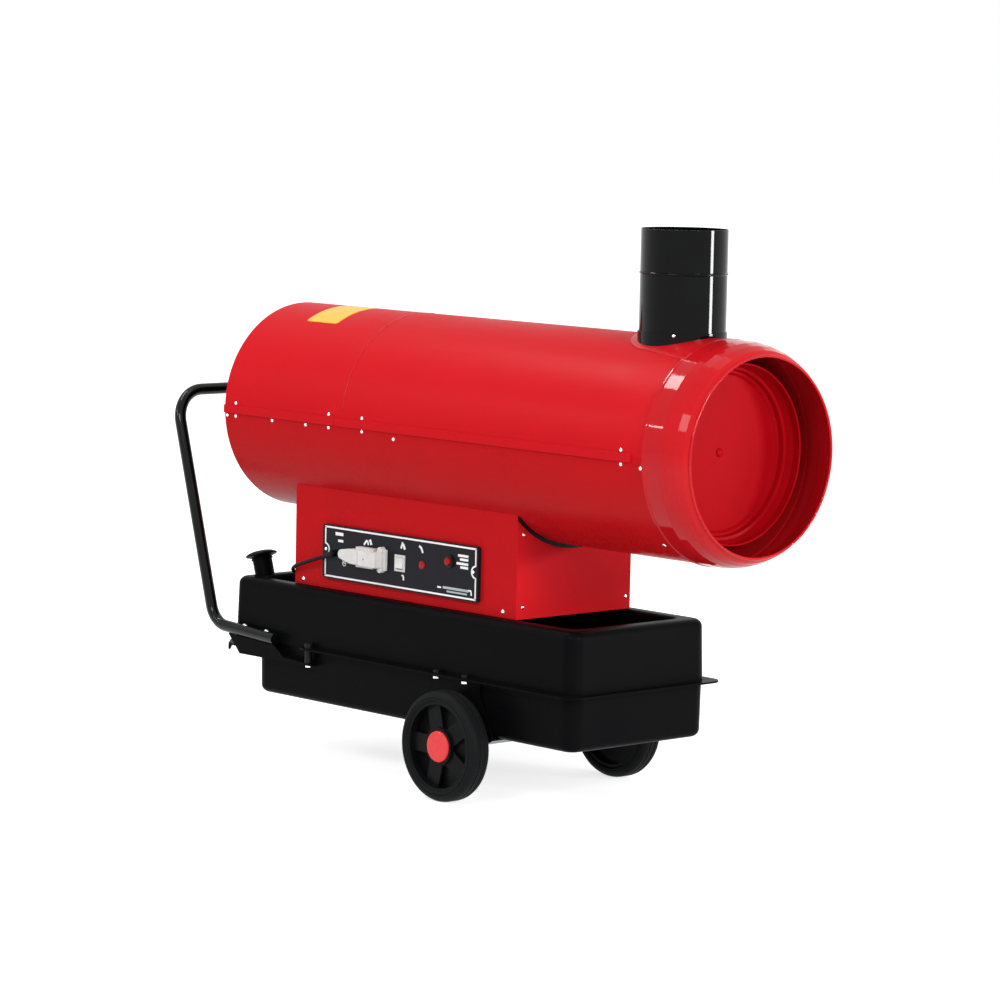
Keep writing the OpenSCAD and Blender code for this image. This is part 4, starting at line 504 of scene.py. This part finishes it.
print("panel print")
panel = {
    "face": -0.1470, "left": -0.2695, "right": 0.1415, "low": 0.3525, "high": 0.4428,
    "line": 0.0032, "ink": 0.00022, "notch": 0.0105, "notchSteps": 10, "middle": 0.4015,
}


def strip(name, points, width, mat):
    # a printed line of constant width through points (x, z) on the panel's face
    verts, faces = [], []
    for i, (x, z) in enumerate(points):
        a = Vector(points[max(i - 1, 0)])
        b = Vector(points[min(i + 1, len(points) - 1)])
        along = (b - a).normalized()
        side = Vector((-along.y, along.x)) * width / 2
        for y in (panel["face"], panel["face"] - panel["ink"]):
            verts.append((x + side.x, y, z + side.y))
            verts.append((x - side.x, y, z - side.y))
    for i in range(len(points) - 1):
        a, b = 4 * i, 4 * (i + 1)
        faces += [(a + 2, a + 3, b + 3, b + 2), (a, a + 2, b + 2, b), (a + 3, a + 1, b + 1, b + 3),
            (a + 1, a, b, b + 1)]
    last = 4 * (len(points) - 1)
    faces += [(0, 1, 3, 2), (last + 2, last + 3, last + 1, last)]
    return addMesh(name, verts, faces, mat)


def roundNotch(cx, side):
    # a half round that goes round the screw head, from below to above it
    steps, radius = panel["notchSteps"], panel["notch"]
    turns = [math.radians(-90 + 180 * k / steps) for k in range(steps + 1)]
    return [(cx + side * radius * math.cos(a), panel["middle"] + radius * math.sin(a)) for a in turns]


def panelFrame():
    x0, x1, z0, z1 = panel["left"], panel["right"], panel["low"], panel["high"]
    over = panel["line"] / 2
    lines = {
        "panelLineLeft": [(x0, z0)] + roundNotch(x0, 1) + [(x0, z1)],
        "panelLineRight": [(x1, z0)] + roundNotch(x1, -1) + [(x1, z1)],
        "panelLineTop": [(x0 - over, z1), (x1 + over, z1)],
        "panelLineLow": [(x0 - over, z0), (x1 + over, z0)],
    }
    for name, points in lines.items():
        strip(name, points, panel["line"], whiteInk)


panelFrame()

# plain bars, dots and strokes that stand for the printed hints, with no lettering
panelMarks = [
    ([(-0.2414, 0.4322), (-0.2198, 0.4322)], 0.0060, whiteInk),
    ([(-0.2339, 0.4198), (-0.2195, 0.4198)], 0.0046, whiteInk),
    ([(-0.1615, 0.4195), (-0.1530, 0.4290)], 0.0040, whiteInk),
    ([(-0.1515, 0.4285), (-0.1490, 0.4205)], 0.0034, whiteInk),
    ([(-0.1450, 0.4305), (-0.1405, 0.4215)], 0.0052, whiteInk),
    ([(-0.0590, 0.4235), (-0.0545, 0.4350)], 0.0042, whiteInk),
    ([(-0.0530, 0.4320), (-0.0485, 0.4225)], 0.0052, whiteInk),
    ([(-0.0098, 0.4332), (-0.0040, 0.4300), (0.0005, 0.4216)], 0.0044, whiteInk),
    ([(-0.0560, 0.3752), (-0.0515, 0.3742), (-0.0510, 0.3665)], 0.0036, whiteInk),
    ([(0.0947, 0.4273), (0.1217, 0.4273)], 0.0044, whiteInk),
    ([(0.0998, 0.4206), (0.1217, 0.4206)], 0.0044, whiteInk),
    ([(0.0910, 0.4130), (0.1217, 0.4130)], 0.0044, whiteInk),
    ([(0.1010, 0.4065), (0.1217, 0.4065)], 0.0044, whiteInk),
    ([(0.0410, 0.3652), (0.0510, 0.3652)], 0.0030, whiteInk),
    ([(0.0556, 0.3660), (0.1240, 0.3660)], 0.0044, greyInk),
    ([(0.0660, 0.3598), (0.1200, 0.3598)], 0.0032, greyInk),
    ([(0.1240, 0.3672), (0.1300, 0.3672), (0.1315, 0.3590)], 0.0034, whiteInk)]
for i, (points, width, ink) in enumerate(panelMarks):
    strip("panelMark%02d" % i, points, width, ink)


print("sticker and seams")
shell = {"axisZ": 0.645, "radius": 0.192}
sticker = {"from": -0.396, "to": -0.308, "angles": (60, 91), "lift": 0.00005, "thick": 0.0002, "corner": 0.004}
# the raised edge where the front cover laps the rear one
lip = {"from": -0.1772, "to": -0.1752, "angles": (6, 174), "lift": -0.0002, "thick": 0.0009, "corner": 0.0002}
# the folded lock seam of the rolled flue, a flat strip that stands about 1 mm proud
seam = {"x": 0.493, "angle": -74, "half": 0.006, "flueR": 0.075, "inner": 0.0745, "outer": 0.0759, "top": 0.8,
    "low": (0.8485, 0.9450), "high": (0.9515, 1.0205)}


def curvedSheet(name, spec, mat):
    # a sheet on the round body between two angles above the near seam, in degrees, with rounded corners
    x0, x1, thick, corner = spec["from"], spec["to"], spec["thick"], spec["corner"]
    a0, a1 = spec["angles"]
    radius = shell["radius"] + spec["lift"]
    cols, rows = 10, 24
    verts, faces = [], []
    for lift in (0, thick):
        for i in range(cols + 1):
            for j in range(rows + 1):
                angle = math.radians(a0 + (a1 - a0) * j / rows)
                arc = (j / rows - 0.5) * math.radians(a1 - a0) * radius
                inset = max(0, abs(arc) - (math.radians(a1 - a0) * radius / 2 - corner))
                cut = corner - math.sqrt(max(corner * corner - inset * inset, 0))
                x = x0 + cut + (x1 - x0 - 2 * cut) * i / cols
                r = radius + lift
                verts.append((x, -r * math.cos(angle), shell["axisZ"] + r * math.sin(angle)))
    n = (cols + 1) * (rows + 1)
    for i in range(cols):
        for j in range(rows):
            a = i * (rows + 1) + j
            b = a + rows + 1
            faces.append((a, a + 1, b + 1, b))
            faces.append((n + a, n + b, n + b + 1, n + a + 1))
    ring = [i * (rows + 1) for i in range(cols + 1)] + [cols * (rows + 1) + j for j in range(1, rows + 1)] \
        + [i * (rows + 1) + rows for i in range(cols - 1, -1, -1)] + [j for j in range(rows - 1, 0, -1)]
    for k, a in enumerate(ring):
        b = ring[(k + 1) % len(ring)]
        faces.append((a, b, n + b, n + a))
    return addMesh(name, verts, faces, mat, smooth=True)


def flueSeam(name, spec, span):
    inner, outer, half, top = spec["inner"], spec["outer"], spec["half"], spec["half"] * spec["top"]
    verts = []
    for z in span:
        for radius, turn in ((inner, -half), (outer, -top), (outer, top), (inner, half)):
            a = math.radians(spec["angle"]) + turn / spec["flueR"]
            verts.append((spec["x"] + radius * math.cos(a), radius * math.sin(a), z))
    faces = [(0, 1, 5, 4), (1, 2, 6, 5), (2, 3, 7, 6), (3, 2, 1, 0), (4, 5, 6, 7), (3, 0, 4, 7)]
    return addMesh(name, verts, faces, blackEnamel)


curvedSheet("yellowSticker", sticker, yellowVinyl)
curvedSheet("coverLip", lip, redGlossPaintedShade)
flueSeam("flueSeamLow", seam, seam["low"])
flueSeam("flueSeamHigh", seam, seam["high"])


print("studio")
studio = {
    "floorSize": 30.0,
    "floorDrop": 0.0005,      # the floor lies just below the wheels
    "floorPaint": 0.7,
    "glowReach": (0.6, 2.6),  # metres from the middle, over which the shown floor pales to white
    "glow": (0.72, 1.0),
    "skyLight": 0.46,
    "skyShown": 1.0,
}


def shownRays(tree):
    # 1 for the rays that see the background: from the camera, off gloss and through clear pieces
    path = addNode(tree, "ShaderNodeLightPath")
    seen = path.outputs["Is Camera Ray"]
    for other in ("Is Glossy Ray", "Is Transmission Ray"):
        both = addNode(tree, "ShaderNodeMath", {"operation": "MAXIMUM"}, {0: seen, 1: path.outputs[other]})
        seen = both.outputs[0]
    return seen


def makeFloor(spec):
    # a wide floor that gives a soft contact shadow and is seen as near white
    mat, tree = emptyMaterial("studioFloor")
    seen = shownRays(tree)
    place = addNode(tree, "ShaderNodeTexCoord").outputs["Object"]
    away = addNode(tree, "ShaderNodeVectorMath", {"operation": "LENGTH"}, {0: place})
    bright = addNode(tree, "ShaderNodeMapRange", {"From Min": spec["glowReach"][0], "From Max": spec["glowReach"][1],
        "To Min": spec["glow"][0], "To Max": spec["glow"][1]}, {"Value": away.outputs["Value"]})
    paint = addNode(tree, "ShaderNodeBsdfDiffuse", {"Color": grey(spec["floorPaint"])})
    glow = addNode(tree, "ShaderNodeEmission", {"Color": grey(1.0)}, {"Strength": bright.outputs[0]})
    both = addNode(tree, "ShaderNodeAddShader", links={0: paint.outputs[0], 1: glow.outputs[0]})
    mix = addNode(tree, "ShaderNodeMixShader", links={0: seen, 1: paint.outputs[0], 2: both.outputs[0]})
    addNode(tree, "ShaderNodeOutputMaterial", links={"Surface": mix.outputs[0]})
    size, low = spec["floorSize"], -spec["floorDrop"]
    mesh = bpy.data.meshes.new("studioFloor")
    corners = [(-size, -size, low), (size, -size, low), (size, size, low), (-size, size, low)]
    mesh.from_pydata(corners, [], [(0, 1, 2, 3)])
    mesh.materials.append(mat)
    floor = bpy.data.objects.new("studioFloor", mesh)
    scene.collection.objects.link(floor)


def makeSky(spec):
    # white where it is seen, and a softer level for the light that it gives
    world = bpy.data.worlds.new("studioWorld")
    scene.world = world
    world.use_nodes = True
    tree = world.node_tree
    tree.nodes.clear()
    seen = shownRays(tree)
    soft = addNode(tree, "ShaderNodeBackground", {"Color": grey(1.0), "Strength": spec["skyLight"]})
    white = addNode(tree, "ShaderNodeBackground", {"Color": grey(1.0), "Strength": spec["skyShown"]})
    mix = addNode(tree, "ShaderNodeMixShader", links={0: seen, 1: soft.outputs[0], 2: white.outputs[0]})
    addNode(tree, "ShaderNodeOutputWorld", links={"Surface": mix.outputs[0]})


makeFloor(studio)
makeSky(studio)

lamps = [
    # name, place and aim in metres, width, height, watts
    ("keyPanel", (1.2, -3.2, 2.5), (0.1, 0, 0.6), 1.4, 1.0, 50),
    ("frontPanel", (4.2, -0.6, 1.7), (0.4, 0, 0.5), 1.0, 1.0, 98),
    ("topPanel", (0.0, 0.4, 4.0), (0.0, 0, 0.6), 2.0, 1.0, 8),
    ("backFill", (-1.5, 3.6, 2.4), (0, 0, 0.6), 2.0, 1.6, 9),
    ("windowTop", (-1.4, -0.68, 2.85), (0.65, 0, 0.72), 1.3, 0.26, 24),
    ("windowBar", (-1.45, -2.1, 1.64), (0.65, 0, 0.70), 1.4, 0.06, 11),
    ("flueStrip", (3.068, 1.634, 0.775), (0.493, 0, 0.92), 0.45, 0.32, 36),
]
for name, place, aim, width, height, power in lamps:
    data = bpy.data.lights.new(name, "AREA")
    data.shape = "RECTANGLE"
    data.size, data.size_y = width, height
    data.energy = power
    lamp = bpy.data.objects.new(name, data)
    lamp.location = place
    lamp.rotation_euler = (Vector(aim) - Vector(place)).to_track_quat("-Z", "Y").to_euler()
    scene.collection.objects.link(lamp)

scene.view_settings.view_transform = "Standard"
